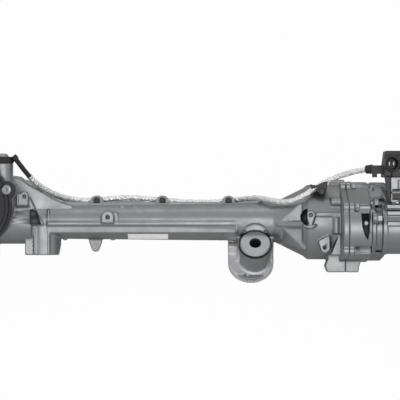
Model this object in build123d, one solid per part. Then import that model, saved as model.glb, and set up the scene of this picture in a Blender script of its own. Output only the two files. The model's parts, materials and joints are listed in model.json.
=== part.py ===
from build123d import *
from math import atan2, cos, hypot, pi, radians, sin, sqrt, tan
import os

# Electric power steering gear, belt drive beside the rack.
# Casting frame: X along the rack, Z up the front view, Y away from the front view, rack axis on X.
# The finished gear is turned about the rack until its mount bolt stands upright.
# All sizes are in millimetres.

# Attitude in the vehicle
MOUNT_TILT = 53.0

# Fits
RUN_FIT = 0.05
SEAT_FIT = 0.03
SOFT_GAP = 0.3
FACE_GAP = 0.02

# Rack bar
RACK_R = 14.0
TRAVEL = 72.0
STOP_MARGIN = 1.0
END_RECESS = 8.0

# Rack teeth and pinion, one module, teeth square to the leaning pinion
MODULE = 2.0
PINION_TEETH = 9
PRESSURE_ANGLE = 20.0
PROFILE_SHIFT = 0.5
PINION_LEAN = 15.0
BACKLASH = 0.12
TOOTH_FACE = 32.0
PINION_X = -311.0
BAR_CHAMFER = 1.2

# Rack casting along X
CASTING_LEFT = -392.0
BELLY_END = -242.0
BELLY_R = 31.5
CUFF_SEAT_R = 27.0
CUFF_SEAT_LEN = 14.0
TUBE_LEFT_R = 24.0
TUBE_RIGHT_R = 27.5
TUBE_END = 105.0
CONE_END = 149.0
CONE_R = 49.0
CASE_R = 54.0
SEAM_X = 209.0
RACK_BORE_R = 19.0
CASE_WALL = 6.0

# Belt casting and the tube to the right of it
BELT_CASE_R = 58.0
BELT_CASE_END = 241.0
SHOULDER_END = 266.0
RIGHT_TUBE_R = 31.0
CASTING_RIGHT = 300.0
LOBE_R = 40.0
CASE_BOLT_ANGLES = (10.0, 52.0, 118.0, 300.0, 335.0)
LOBE_BOLT_ANGLE = 50.0
CASE_LUG_R = 7.5

# Motor
MOTOR_Y = -72.0
MOTOR_Z = -9.0
MOTOR_R = 35.5
MOTOR_FLANGE = 6.0
MOTOR_NECK_R = 30.0
MOTOR_NECK_END = 262.0
MOTOR_END = 362.0
MOTOR_WALL = 2.5
MOTOR_SHAFT_R = 7.0
STATOR_BORE_R = 21.0
SLOT_WIDTH = 5.0
SLOT_COUNT = 12
MOTOR_BOLT_CIRCLE = 42.0
MOTOR_BOLT_ANGLES = (21.7, 120.0, 215.0)

# Ball screw drive
SCREW_LEAD = 7.0
NUT_R = 26.0
NUT_START = 156.0
NUT_END = 210.0
RACE_R = 30.0
BEARING_R = 38.0
BEARING_START = 168.0
BEARING_WIDTH = 18.0
BELT_PITCH = 2.5
DRIVE_TEETH = 40
DRIVEN_TEETH = 110
BELT_WIDTH = 22.0
PULLEY_START = 212.0
PULLEY_WIDTH = 24.0
BELT_THICKNESS = 1.8
PULLEY_FLANGE = 1.4

# Pinion and input shaft, measured along the pinion axis from the mesh
PINION_LOW_R = 6.0
LOW_BEARING_R = 10.0
LOW_BEARING_WIDTH = 12.0
PINION_NECK_R = 9.0
UP_BEARING_R = 20.0
UP_BEARING_WIDTH = 12.0
CUP_END = 38.0
SPIGOT_R = 6.4
TORSION_R = 3.0
INPUT_R = 8.0
INPUT_END = 108.0
SPLINE_LEN = 22.0
SPLINE_TEETH = 24
SPLINE_GAP = 0.45
TOWER_R = 27.0
FLANGE_START = 43.0
COVER_START = 56.0
COVER_THICK = 10.0
COVER_R = 62.0
COVER_RISE = 4.4
COVER_LOBE_R = 12.3
COVER_LOBE_ANGLE = 22.5
SENSOR_R = 30.0

# Rack guide below the pinion
YOKE_R = 13.5
YOKE_BOSS_R = 20.5
YOKE_BASE = -30.0
SPRING_HEIGHT = 4.0
PLUG_R = 16.0
PLUG_END = -52.0

# Lead outlet tower beside the sensor cover
OUTLET_X = -283.0
OUTLET_Y = -30.0
OUTLET_R = 15.0
OUTLET_TOP = 85.0
OUTLET_BORE = 9.0
CAP_HEIGHT = 9.0

# Webs between the pinion housing, the outlet tower and the tube, drawn in the front view
WEB_FORE = 16.0
WEB_REAR = 14.0
SHELF_FORE = 27.0
WEB_OUTLINE = (
    (-318.0, 10.0),
    (-318.0, 60.0),
    (-276.0, 67.0),
    (-260.0, 63.0),
    (-248.0, 54.0),
    (-229.0, 43.5),
    (-213.0, 34.0),
    (-198.0, 27.5),
    (-184.0, 23.5),
    (-184.0, 10.0),
)
FIN_OUTLINE = (
    (-300.0, 40.0),
    (-276.0, 68.0),
    (-260.0, 66.0),
    (-248.0, 57.5),
    (-229.0, 46.5),
    (-217.0, 38.0),
    (-208.0, 20.0),
)
SHELF_OUTLINE = (
    (-280.0, 0.0),
    (-280.0, 40.0),
    (-245.0, 36.0),
    (-236.0, 16.0),
    (-224.0, -4.0),
    (-262.0, -4.0),
)
SHELF_POCKET = (
    (-243.0, 14.0),
    (-237.0, 12.0),
    (-230.0, -2.0),
    (-243.0, -2.0),
)

# Left mount boss, bolted from below
LEFT_BOSS_X = -226.0
LEFT_BOSS_R = 24.7
LEFT_BOSS_BOTTOM = -47.4
LEFT_THREAD_R = 5.1
LEFT_THREAD_DEPTH = 24.0

# Right mount with its rubber bushing, along the upright bolt
BUSH_X = 79.3
BUSH_FORE = 42.2
BUSH_TOP = 6.6
BUSH_BOSS_R = 22.6
BUSH_LENGTH = 43.0
BUSH_RING_R = 24.2
BUSH_DISC_R = 22.3
BUSH_DISC_THICK = 3.5
BUSH_SHELL_R = 17.0
BUSH_SHELL_WALL = 1.6
BUSH_CORE_R = 11.0
BUSH_BORE_R = 7.25
FOOT_R = 33.0
FOOT_SHIFT = -5.5
FOOT_THICK = 11.0
SIDE_WEB = 10.0
SIDE_WEB_DEPTH = 24.0
SIDE_WEB_RISE = 30.0

# Ears along the rear flange that carry the lead
EAR_XS = (-150.8, -54.8, 41.6)
EAR_AFT = 35.0
EAR_R = 9.4
EAR_THICK = 6.0
EAR_HOLE_R = 3.6
EAR_NECK = 12.0
EAR_RAISE = 1.6
WING_AFT = 33.0
WING_LEFT = -205.0
WING_RIGHT = 48.0

# Front rib and small lugs
RIB_TOP = 0.7
RIB_BOTTOM = -4.4
RIB_PROUD = 2.2
RIB_LEFT = -220.0
RIB_RIGHT = 51.0
RIDGE_EDGE_Z = -15.2
RIDGE_FRONT = 25.4
RIDGE_BACK = 12.0
PAD_X = -132.7
PAD_Z = 7.3
PAD_R = 9.0
PAD_FRONT = -31.0
PAD_THREAD_R = 2.6
PAD_THREAD_DEPTH = 9.0
NUB_XS = (-195.0, -126.0, 19.0)
NUB_R = 3.0
TONGUE_X = -151.2
TONGUE_WIDTH = 22.6
TONGUE_END = -43.0
TONGUE_TIP_R = 6.5
TONGUE_THICK = 6.0

# Pockets in the front of the cone
POCKET_DEPTH = 7.0
POCKET_TOP = 26.0
POCKET_LOW = -41.0
CONE_RIB_TOP = 1.5
CONE_RIB_LOW = -8.0

# Small threaded boss, rib, post and tab on the front of the drive case
CASE_BOSS_X = 157.6
CASE_BOSS_Z = 10.5
CASE_BOSS_PROUD = 3.0
CASE_BOSS_R = 6.4
CASE_BOSS_TAIL = 14.5
CASE_BOSS_DEPTH = 20.0
CASE_RIB_LEFT = 166.0
CASE_RIB_LOW = 8.7
CASE_RIB_TOP = 14.5
POST_X = 195.0
POST_R = 6.2
POST_LOW = -17.0
POST_TOP = 7.0
CASE_POST_ANGLES = (32.0, 88.0)
CASE_POST_R = 6.5
CASE_POST_LEN = 22.0
CASE_THREAD_R = 2.6
CASE_THREAD_DEPTH = 8.5
TAB_X = 177.5
TAB_Z = -36.0
TAB_SETBACK = 12.0
TAB_THICK = 14.0
TAB_CORNERS = (
    (-8.5, 8.0),
    (5.5, 16.5),
    (9.5, 16.0),
    (9.5, -5.0),
    (2.5, -9.0),
    (-3.5, -7.0),
)
TAB_THREAD_R = 2.1
TAB_THREAD_DEPTH = 7.0

# Foot under the drive case
FOOT_LEFT = 180.0
FOOT_RIGHT = 233.0
FOOT_TOP = -50.0
FOOT_BOTTOM = -72.0
FOOT_FRONT = -26.0
FOOT_BACK = 8.0
FOOT_THREAD_R = 4.3
FOOT_THREAD_DEPTH = 14.0

# Control unit over the motor
UNIT_LEFT = 267.0
UNIT_RIGHT = 372.0
UNIT_BOTTOM = 29.0
UNIT_TOP = 64.0
UNIT_FRONT = -108.0
UNIT_BACK = -38.0
UNIT_WALL = 3.0
PLUG_BLOCK_LEFT = 258.0
PLUG_BLOCK_RIGHT = 330.0
PLUG_BLOCK_TOP = 101.0
PLUG_BLOCK_FRONT = -104.0
PLUG_BLOCK_BACK = -46.0
SOCKET_X = 268.5
SOCKET_Z = 83.0
SOCKET_R = 10.2
SOCKET_BORE = 8.4
SOCKET_DEPTH = 18.0
SOCKET_STEP = 32.0

# Tie rods and bellows
JOINT_R = 19.0
JOINT_LEN = 36.0
BALL_R = 12.5
BALL_DEPTH = 22.0
ROD_R = 7.5
ROD_NECK_R = 5.5
ROD_REACH = 240.0
LEFT_ROD_THREAD_R = 7.0
RIGHT_ROD_THREAD_R = 6.5
ROD_THREAD_LEN = 62.0
NUT_HEX_R = 12.7
NUT_THICK = 11.0
JAM_NUT_AT = 4.0
THREAD_CHAMFER = 1.5
THREAD_ROOT_R = 6.1
ROD_CUFF_AT = 95.0
BELLOWS_FOLDS = 8
BELLOWS_PEAK_R = 31.0
BELLOWS_ROOT_R = 25.0
BELLOWS_TAPER = 6.0
BELLOWS_WALL = 2.0
CLAMP_WIDTH = 8.0
CLAMP_THICK = 1.2
ROD_CUFF_R = 10.5

# Lead between the sensor and the control unit
CONDUIT_R = 3.5
SLEEVE_R = 4.5
ARC_SHARE = 0.45
CONDUIT_ROUTE = (
    (-263.5, -33.0, 89.5),
    (-257.0, -31.5, 81.0),
    (-250.0, -28.0, 71.5),
)
SLEEVE_ROUTE = (
    (-241.0, -20.0, 61.0),
    (-229.0, -8.0, 50.5),
    (-215.0, 6.0, 42.0),
    (-198.0, 20.0, 35.5),
    (-178.0, 29.0, 31.5),
    (-155.0, 32.5, 31.2),
    (-128.0, 32.5, 34.5),
    (-100.0, 33.0, 35.5),
    (-70.0, 33.5, 33.0),
    (-40.0, 33.0, 30.5),
    (-12.0, 33.0, 28.3),
    (16.0, 32.5, 28.7),
    (40.0, 33.2, 30.0),
    (57.0, 27.5, 32.8),
    (74.0, 12.0, 35.0),
    (92.0, -8.0, 34.0),
    (110.0, -25.0, 29.8),
    (128.0, -38.0, 29.0),
    (146.0, -46.0, 36.5),
    (163.0, -44.0, 48.5),
    (182.0, -42.0, 59.5),
    (202.0, -50.0, 67.5),
    (219.0, -61.0, 72.5),
    (236.0, -71.0, 75.0),
)
BAND_WALL = 1.8
SADDLE_X = 172.0
SADDLE_WIDTH = 20.0

# Derived places
UP = (0.0, -sin(radians(MOUNT_TILT)), cos(radians(MOUNT_TILT)))
AFT = (0.0, cos(radians(MOUNT_TILT)), sin(radians(MOUNT_TILT)))
COVER_LOBE_AT = COVER_R - 2.0
LEAN = radians(PINION_LEAN)
PINION_AXIS = (-sin(LEAN), -cos(LEAN), 0.0)
PINION_PITCH_R = MODULE * PINION_TEETH / 2
PINION_TIP_R = PINION_PITCH_R + MODULE * (1 + PROFILE_SHIFT)
PINION_ROOT_R = PINION_PITCH_R + MODULE * (PROFILE_SHIFT - 1.25)
RACK_PITCH_Z = RACK_R - 5.0
PINION_Z = RACK_PITCH_Z + PINION_PITCH_R + MODULE * PROFILE_SHIFT
TOOTH_PITCH_X = pi * MODULE / cos(LEAN)
STOP_LEFT = CASTING_LEFT + END_RECESS
STOP_RIGHT = CASTING_RIGHT - END_RECESS
RACK_LEFT = STOP_LEFT - TRAVEL - STOP_MARGIN
RACK_RIGHT = STOP_RIGHT + TRAVEL + STOP_MARGIN
DRIVE_R = DRIVE_TEETH * BELT_PITCH / (2 * pi)
DRIVEN_R = DRIVEN_TEETH * BELT_PITCH / (2 * pi)
BUSH_SEAT = BUSH_TOP - BUSH_LENGTH - FOOT_THICK
MOTOR_FACE_X = BELT_CASE_END
BEARING_END = BEARING_START + BEARING_WIDTH


def upright(x, aft, up):
    """Casting-frame point given along the rack, to the rear of it and up the mount bolt."""
    return Vector(x, aft * AFT[1] + up * UP[1], aft * AFT[2] + up * UP[2])


RACK = Plane(origin=(0, 0, 0), x_dir=(0, 0, 1), z_dir=(1, 0, 0))
MOTOR = Plane(origin=(0, MOTOR_Y, MOTOR_Z), x_dir=(0, 0, 1), z_dir=(1, 0, 0))
PINION = Plane(origin=(PINION_X, 0, PINION_Z), x_dir=(0, 0, 1), z_dir=PINION_AXIS)
COVER = Plane(origin=(PINION_X, 0, PINION_Z + COVER_RISE), x_dir=(0, 0, 1), z_dir=PINION_AXIS)
BUSH = Plane(origin=upright(BUSH_X, -BUSH_FORE, 0), x_dir=(1, 0, 0), z_dir=UP)
FOOT = Plane(origin=upright(BUSH_X + FOOT_SHIFT, -BUSH_FORE, 0), x_dir=(1, 0, 0), z_dir=UP)
LEVEL = Plane(origin=(0, 0, 0), x_dir=(1, 0, 0), z_dir=UP)
INSTALLED = Rot(-MOUNT_TILT, 0, 0)
BUSH_HOME = Vector(BUSH_X, -BUSH_FORE, BUSH_SEAT)


def turned(frame, *profile):
    """Turns a closed outline of (radius, height) points about the frame's own z axis."""
    outline = Plane.XZ * make_face(Polyline(*profile, close=True))
    return frame * revolve(outline, Axis.Z)


def ring(frame, inner, outer, start, end):
    """Plain ring or, with no inner radius, a disc, between two heights of a frame."""
    solid = Cylinder(outer, end - start, align=(Align.CENTER, Align.CENTER, Align.MIN))
    if inner > 0:
        solid -= Cylinder(inner, end - start, align=(Align.CENTER, Align.CENTER, Align.MIN))
    return frame * (Pos(0, 0, start) * solid)


def rod(radius, start, end):
    """Round bar between two points."""
    run = Vector(*end) - Vector(*start)
    bar = Cylinder(radius, run.length, align=(Align.CENTER, Align.CENTER, Align.MIN))
    return Plane(origin=start, z_dir=run) * bar


def block(x0, x1, y0, y1, z0, z1):
    """Box between two corners."""
    return Pos((x0 + x1) / 2, (y0 + y1) / 2, (z0 + z1) / 2) * Box(x1 - x0, y1 - y0, z1 - z0)


def front_plate(y0, y1, *outline):
    """Plate with an (x, z) outline seen in the front view, between two depths."""
    face = Plane.XZ * make_face(Polyline(*outline, close=True))
    return Pos(0, y1, 0) * extrude(face, y1 - y0)


def side_plate(x0, x1, *outline):
    """Outline of height and depth towards the viewer, pushed along the rack."""
    return extrude(RACK * Pos(0, 0, x0) * make_face(Polyline(*outline, close=True)), amount=x1 - x0)


def twin_circle(radius_a, radius_b, x0, x1):
    """Belt-shaped slab round the rack axis and the motor axis."""
    ends = Circle(radius_a).edges() + (Pos(MOTOR_Z, -MOTOR_Y) * Circle(radius_b)).edges()
    return RACK * (Pos(0, 0, x0) * extrude(make_hull(ends), x1 - x0))


def around(count, first=0.0):
    """Evenly spaced angles in degrees."""
    return [first + 360.0 * i / count for i in range(count)]


# Castings

def casting_outline():
    """Coaxial outside of the rack casting as one turned form."""
    cuff_end = CASTING_LEFT + CUFF_SEAT_LEN
    return turned(
        RACK,
        (0, CASTING_LEFT),
        (CUFF_SEAT_R, CASTING_LEFT),
        (CUFF_SEAT_R, cuff_end),
        (BELLY_R, cuff_end + 4),
        (BELLY_R, BELLY_END - 1),
        (BELLY_R - 1, BELLY_END),
        (TUBE_LEFT_R, BELLY_END),
        (TUBE_RIGHT_R, TUBE_END),
        (CONE_R, CONE_END),
        (CASE_R, CONE_END + 6),
        (CASE_R, SEAM_X),
        (0, SEAM_X),
    )


def pinion_tower():
    """Pinion housing with the wide sensor flange and its screw lobes."""
    tower = ring(PINION, 0, TOWER_R, -TOOTH_FACE / 2 - LOW_BEARING_WIDTH - 8, FLANGE_START + 1)
    tower += ring(COVER, 0, COVER_R - 1.5, FLANGE_START, COVER_START)
    tower += turned(COVER, (0, 24), (TOWER_R, 24), (COVER_R - 8, FLANGE_START + 1), (0, FLANGE_START + 1))
    for angle in around(3, COVER_LOBE_ANGLE):
        tower += cover_lobe(angle, COVER_LOBE_R - 1, FLANGE_START - 4, COVER_START)
    return tower


def lobe_centre(angle):
    """Screw place on the sensor cover, by its angle above the rack in the front view."""
    return (COVER_LOBE_AT * sin(radians(angle)), -COVER_LOBE_AT * cos(radians(angle)))


def cover_lobe(angle, radius, start, end):
    """Round screw lobe on the sensor cover or its flange."""
    u, v = lobe_centre(angle)
    disc = Cylinder(radius, end - start, align=(Align.CENTER, Align.CENTER, Align.MIN))
    return COVER * (Pos(u, v, start) * disc)


def shoulder_web():
    """Sloping mass between the pinion housing, the outlet tower and the rear flange."""
    web = front_plate(-WEB_FORE, WEB_REAR, *WEB_OUTLINE)
    web += front_plate(WEB_REAR - 2, WEB_REAR + 3, *FIN_OUTLINE)
    web += front_plate(-SHELF_FORE, -WEB_FORE + 6, *SHELF_OUTLINE)
    return web - front_plate(-SHELF_FORE - 13, -SHELF_FORE + 7, *SHELF_POCKET)


def left_mount_boss():
    """Round boss under the left end, bolted from below."""
    boss = Pos(LEFT_BOSS_X, 0, LEFT_BOSS_BOTTOM) * Cylinder(
        LEFT_BOSS_R, RIB_BOTTOM - LEFT_BOSS_BOTTOM, align=(Align.CENTER, Align.CENTER, Align.MIN)
    )
    rib_left = LEFT_BOSS_X - LEFT_BOSS_R - 1.5
    boss += block(rib_left, LEFT_BOSS_X - 12, -LEFT_BOSS_R + 4, 10, LEFT_BOSS_BOTTOM, -12)
    return boss


def rear_flange():
    """Rear flange of the tube with three drilled ears for the lead clips."""
    span = WING_RIGHT - WING_LEFT
    middle = (WING_LEFT + WING_RIGHT) / 2
    wing = LEVEL * (Pos(middle, WING_AFT / 2, EAR_THICK / 2) * Box(span, WING_AFT, EAR_THICK))
    for x in EAR_XS:
        wing += LEVEL * (Pos(x, EAR_AFT, EAR_THICK / 2) * Cylinder(EAR_R, EAR_THICK))
        neck = Box(2 * EAR_R, EAR_NECK, EAR_THICK + EAR_RAISE)
        wing += LEVEL * (Pos(x, EAR_AFT - EAR_NECK, (EAR_THICK + EAR_RAISE) / 2) * neck)
    return wing


def ear_holes():
    """Holes through the three ears."""
    return Part() + [LEVEL * (Pos(x, EAR_AFT, 0) * Cylinder(EAR_HOLE_R, 4 * EAR_THICK)) for x in EAR_XS]


def front_details():
    """Long front rib, threaded pad, hanging tongue and ejector nubs on the tube."""
    rib = block(RIB_LEFT, RIB_RIGHT, -TUBE_LEFT_R - RIB_PROUD - 1.5, -12, RIB_BOTTOM, RIB_TOP)
    pad = rod(PAD_R, (PAD_X, -14, PAD_Z), (PAD_X, PAD_FRONT, PAD_Z))
    pad += block(PAD_X - PAD_R, PAD_X + PAD_R, PAD_FRONT, -14, RIB_TOP - 2, PAD_Z)
    pad += block(PAD_X, PAD_X + PAD_R + 5.5, PAD_FRONT + 5, -14, RIB_TOP - 2, PAD_Z + PAD_R - 2)
    half = TONGUE_WIDTH / 2
    tip = TONGUE_END + TONGUE_TIP_R
    tongue = front_plate(
        -TONGUE_THICK / 2,
        TONGUE_THICK / 2,
        (TONGUE_X - half, -14),
        (TONGUE_X + half, -14),
        (TONGUE_X + half - 2, -30),
        (TONGUE_X + TONGUE_TIP_R, tip),
        (TONGUE_X - TONGUE_TIP_R, tip),
        (TONGUE_X - half + 2, -30),
    )
    tongue += rod(TONGUE_TIP_R, (TONGUE_X, -TONGUE_THICK / 2, tip), (TONGUE_X, TONGUE_THICK / 2, tip))
    ridge = side_plate(
        RIB_LEFT,
        RIB_RIGHT,
        (RIB_BOTTOM + 0.5, RIDGE_FRONT),
        (RIDGE_EDGE_Z, RIDGE_FRONT - 0.8),
        (-TUBE_LEFT_R + 1.5, RIDGE_BACK),
        (RIB_BOTTOM + 0.5, RIDGE_BACK),
    )
    details = rib + pad + tongue + ridge
    for x in NUB_XS:
        details += rod(NUB_R, (x, -2 * NUB_R, -TUBE_LEFT_R / 2), (x, -2 * NUB_R, -TUBE_RIGHT_R + 1.2))
    return details


def bushing_arm():
    """Arm, boss and wide foot of the right mount."""
    low = BUSH_TOP - BUSH_LENGTH
    arm = ring(BUSH, 0, BUSH_BOSS_R, BUSH_SEAT + 2, BUSH_TOP - BUSH_DISC_THICK - 2)
    arm += ring(FOOT, 0, FOOT_R, BUSH_SEAT, low)
    depth = BUSH_FORE - 6
    mid_up = (BUSH_SEAT + low) / 2
    arm += FOOT * (Pos(0, depth / 2, mid_up) * Box(2 * FOOT_R, depth, FOOT_THICK))
    for side in (-1, 1):
        place = Pos(side * (FOOT_R - SIDE_WEB / 2), depth - SIDE_WEB_DEPTH / 2, low + 1)
        arm += FOOT * (place * Box(SIDE_WEB, SIDE_WEB_DEPTH, SIDE_WEB_RISE))
    web_height = BUSH_TOP - 6 - BUSH_SEAT
    web_width = 2 * BUSH_BOSS_R + 7
    web = Pos(0, BUSH_FORE / 2, BUSH_SEAT + web_height / 2) * Box(web_width, BUSH_FORE, web_height)
    return arm + BUSH * web


def bushing_bore():
    """Stepped bore that holds the bushing."""
    bore = ring(BUSH, 0, BUSH_SHELL_R + SEAT_FIT, BUSH_SEAT + 8, BUSH_TOP)
    bore += ring(BUSH, 0, BUSH_CORE_R + 2, BUSH_SEAT - 1, BUSH_SEAT + 9)
    bore += ring(BUSH, 0, BUSH_RING_R + 0.8, BUSH_TOP - BUSH_DISC_THICK - 2, BUSH_TOP + 30)
    return bore


def cone_ribs():
    """Two pockets in the front of the cone, with a rib left between them."""
    shell = turned(
        RACK,
        (0, TUBE_END + 6),
        (TUBE_RIGHT_R - 1, TUBE_END + 6),
        (CONE_R - POCKET_DEPTH, CONE_END),
        (0, CONE_END),
    )
    near = -CONE_R - 1
    far = -TUBE_RIGHT_R / 2
    left = TUBE_END + 12
    right = CONE_END - 2
    peak = right - 6
    top = CONE_RIB_TOP
    low = CONE_RIB_LOW
    heel = POCKET_LOW + 15
    upper = front_plate(near, far, (left, top), (peak, POCKET_TOP), (right, POCKET_TOP), (right, top))
    lower = front_plate(near, far, (left, low), (right, low), (right, POCKET_LOW), (left, heel))
    return (upper + lower) - shell


def drive_case_details():
    """Bosses, lugs and ribs on the front of the drive case."""
    front = -CASE_R
    x, z = CASE_BOSS_X, CASE_BOSS_Z
    proud = front - CASE_BOSS_PROUD
    back = front + CASE_BOSS_DEPTH
    lug = rod(CASE_BOSS_R, (x, back, z), (x, proud, z))
    high = z - CASE_BOSS_R / 2
    low = z - CASE_BOSS_TAIL
    lug += front_plate(proud, back, (x - 5.6, high), (x + 5.9, high), (x + 2.4, low), (x - 2.6, low))
    rib = block(CASE_RIB_LEFT, SEAM_X - 5, front - 1.5, back, CASE_RIB_LOW, CASE_RIB_TOP)
    post_y = front + 4.5
    post = rod(POST_R, (POST_X, post_y, POST_LOW), (POST_X, post_y, POST_TOP))
    face = front + TAB_SETBACK
    outline = [(TAB_X + x, TAB_Z + z) for x, z in TAB_CORNERS]
    tab = front_plate(face, face + TAB_THICK, *outline)
    details = lug + rib + post + tab
    for angle in CASE_POST_ANGLES:
        y = -(CASE_R + 1) * cos(radians(angle))
        z = (CASE_R + 1) * sin(radians(angle))
        details += rod(CASE_POST_R, (SEAM_X - CASE_POST_LEN, y, z), (SEAM_X, y, z))
    return details


def front_thread_holes():
    """Blind threaded holes of the pad on the tube and of the boss and the tab on the drive case."""
    holes = rod(PAD_THREAD_R, (PAD_X, PAD_FRONT - 1, PAD_Z), (PAD_X, PAD_FRONT + PAD_THREAD_DEPTH, PAD_Z))
    face = -CASE_R - CASE_BOSS_PROUD
    foot_y = face + CASE_THREAD_DEPTH
    holes += rod(CASE_THREAD_R, (CASE_BOSS_X, face - 1, CASE_BOSS_Z), (CASE_BOSS_X, foot_y, CASE_BOSS_Z))
    face = -CASE_R + TAB_SETBACK
    holes += rod(TAB_THREAD_R, (TAB_X, face - 1, TAB_Z), (TAB_X, face + TAB_THREAD_DEPTH, TAB_Z))
    return holes


def case_bolt_places():
    """Centres of the screws that join the two castings, around rack and motor."""
    places = []
    for angle in CASE_BOLT_ANGLES:
        places.append((BELT_CASE_R * cos(radians(angle)), BELT_CASE_R * sin(radians(angle))))
    lean = radians(LOBE_BOLT_ANGLE)
    for side in (-1, 1):
        places.append((MOTOR_Y - LOBE_R * cos(lean), MOTOR_Z + side * LOBE_R * sin(lean)))
    return places


def seam_flange(x0, x1):
    """Flange of either casting at the belt case seam, with its screw lugs."""
    flange = twin_circle(BELT_CASE_R, LOBE_R, x0, x1)
    for y, z in case_bolt_places():
        flange += rod(CASE_LUG_R, (x0, y, z), (x1, y, z))
    return flange


def foot(x0, x1):
    """Threaded foot under the drive case."""
    base = front_plate(
        FOOT_FRONT,
        FOOT_BACK,
        (FOOT_LEFT + 4, FOOT_TOP + 8),
        (FOOT_LEFT + 4, FOOT_TOP - 2),
        (FOOT_LEFT, FOOT_BOTTOM + 9),
        (FOOT_LEFT + 3, FOOT_BOTTOM),
        (FOOT_RIGHT - 5, FOOT_BOTTOM),
        (FOOT_RIGHT - 4, FOOT_BOTTOM + 8),
        (FOOT_RIGHT, FOOT_TOP - 2),
        (FOOT_RIGHT, FOOT_TOP + 8),
    )
    return base & block(x0, x1, FOOT_FRONT - 1, FOOT_BACK + 1, FOOT_BOTTOM - 1, FOOT_TOP + 9)


def foot_thread_place():
    """Foot of the threaded hole's axis."""
    return Vector((FOOT_LEFT + SEAM_X) / 2 + 1, (FOOT_FRONT + FOOT_BACK) / 2, FOOT_BOTTOM)


def pinion_bores():
    """Bores of the pinion housing, from the lower bearing to the sensor chamber."""
    low = -TOOTH_FACE / 2
    cut = ring(PINION, 0, PINION_TIP_R + 1.2, low - 2, TOOTH_FACE / 2 + 4)
    cut += ring(PINION, 0, LOW_BEARING_R + SEAT_FIT, low - LOW_BEARING_WIDTH - 2, low)
    cut += ring(PINION, 0, UP_BEARING_R + SEAT_FIT, TOOTH_FACE / 2 + 2, FLANGE_START)
    cut += ring(PINION, 0, SENSOR_R + 1, FLANGE_START - 1, COVER_START + 1)
    cut += ring(COVER, 0, COVER_R - 12, COVER_START - 7, COVER_START + 1)
    for angle in around(3, COVER_LOBE_ANGLE):
        cut += cover_lobe(angle, 2.6, COVER_START - 14, COVER_START + 1)
    return cut


def yoke_bores():
    """Stepped bore of the rack guide."""
    cut = rod(YOKE_R + RUN_FIT, (PINION_X, 0, YOKE_BASE - SPRING_HEIGHT - 0.1), (PINION_X, 0, -2))
    cut += rod(PLUG_R + SEAT_FIT, (PINION_X, 0, PLUG_END - 1), (PINION_X, 0, YOKE_BASE - SPRING_HEIGHT))
    return cut


def rack_bores():
    """Rack bore, end recess, drive chamber and bearing seat."""
    return turned(
        RACK,
        (0, CASTING_LEFT - 1),
        (JOINT_R + 2, CASTING_LEFT - 1),
        (JOINT_R + 2, STOP_LEFT),
        (RACK_BORE_R, STOP_LEFT),
        (RACK_BORE_R, NUT_START - 8),
        (RACE_R + 2, NUT_START - 4),
        (RACE_R + 2, BEARING_START),
        (BEARING_R + SEAT_FIT, BEARING_START),
        (BEARING_R + SEAT_FIT, BEARING_END),
        (CASE_R - CASE_WALL, BEARING_END),
        (CASE_R - CASE_WALL, SEAM_X + 1),
        (0, SEAM_X + 1),
    )


def rack_housing():
    """Main casting: pinion housing, tube, mounts and the left half of the drive case."""
    body = casting_outline()
    body += shoulder_web()
    body += pinion_tower()
    body += rod(OUTLET_R, (OUTLET_X, OUTLET_Y, 12), (OUTLET_X, OUTLET_Y, OUTLET_TOP))
    body += rod(YOKE_BOSS_R, (PINION_X, 0, PLUG_END + 4), (PINION_X, 0, -10))
    body += left_mount_boss()
    body += rear_flange()
    body += front_details()
    body += bushing_arm()
    body += drive_case_details()
    body += seam_flange(SEAM_X - 8, SEAM_X)
    body += foot(FOOT_LEFT - 1, SEAM_X)
    body -= cone_ribs()
    body -= rack_bores()
    body -= pinion_bores()
    body -= yoke_bores()
    body -= ear_holes()
    body -= bushing_bore()
    body -= rod(OUTLET_BORE, (OUTLET_X, OUTLET_Y, OUTLET_TOP - 30), (OUTLET_X, OUTLET_Y, OUTLET_TOP + 1))
    body -= front_thread_holes()
    mouth = foot_thread_place()
    body -= rod(FOOT_THREAD_R, mouth - (0, 0, 1), mouth + (0, 0, FOOT_THREAD_DEPTH))
    for y, z in case_bolt_places():
        body -= rod(3.4, (SEAM_X - 6, y, z), (SEAM_X + 1, y, z))
    thread_top = LEFT_BOSS_BOTTOM + LEFT_THREAD_DEPTH
    body -= rod(LEFT_THREAD_R, (LEFT_BOSS_X, 0, LEFT_BOSS_BOTTOM - 1), (LEFT_BOSS_X, 0, thread_top))
    return body


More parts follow.
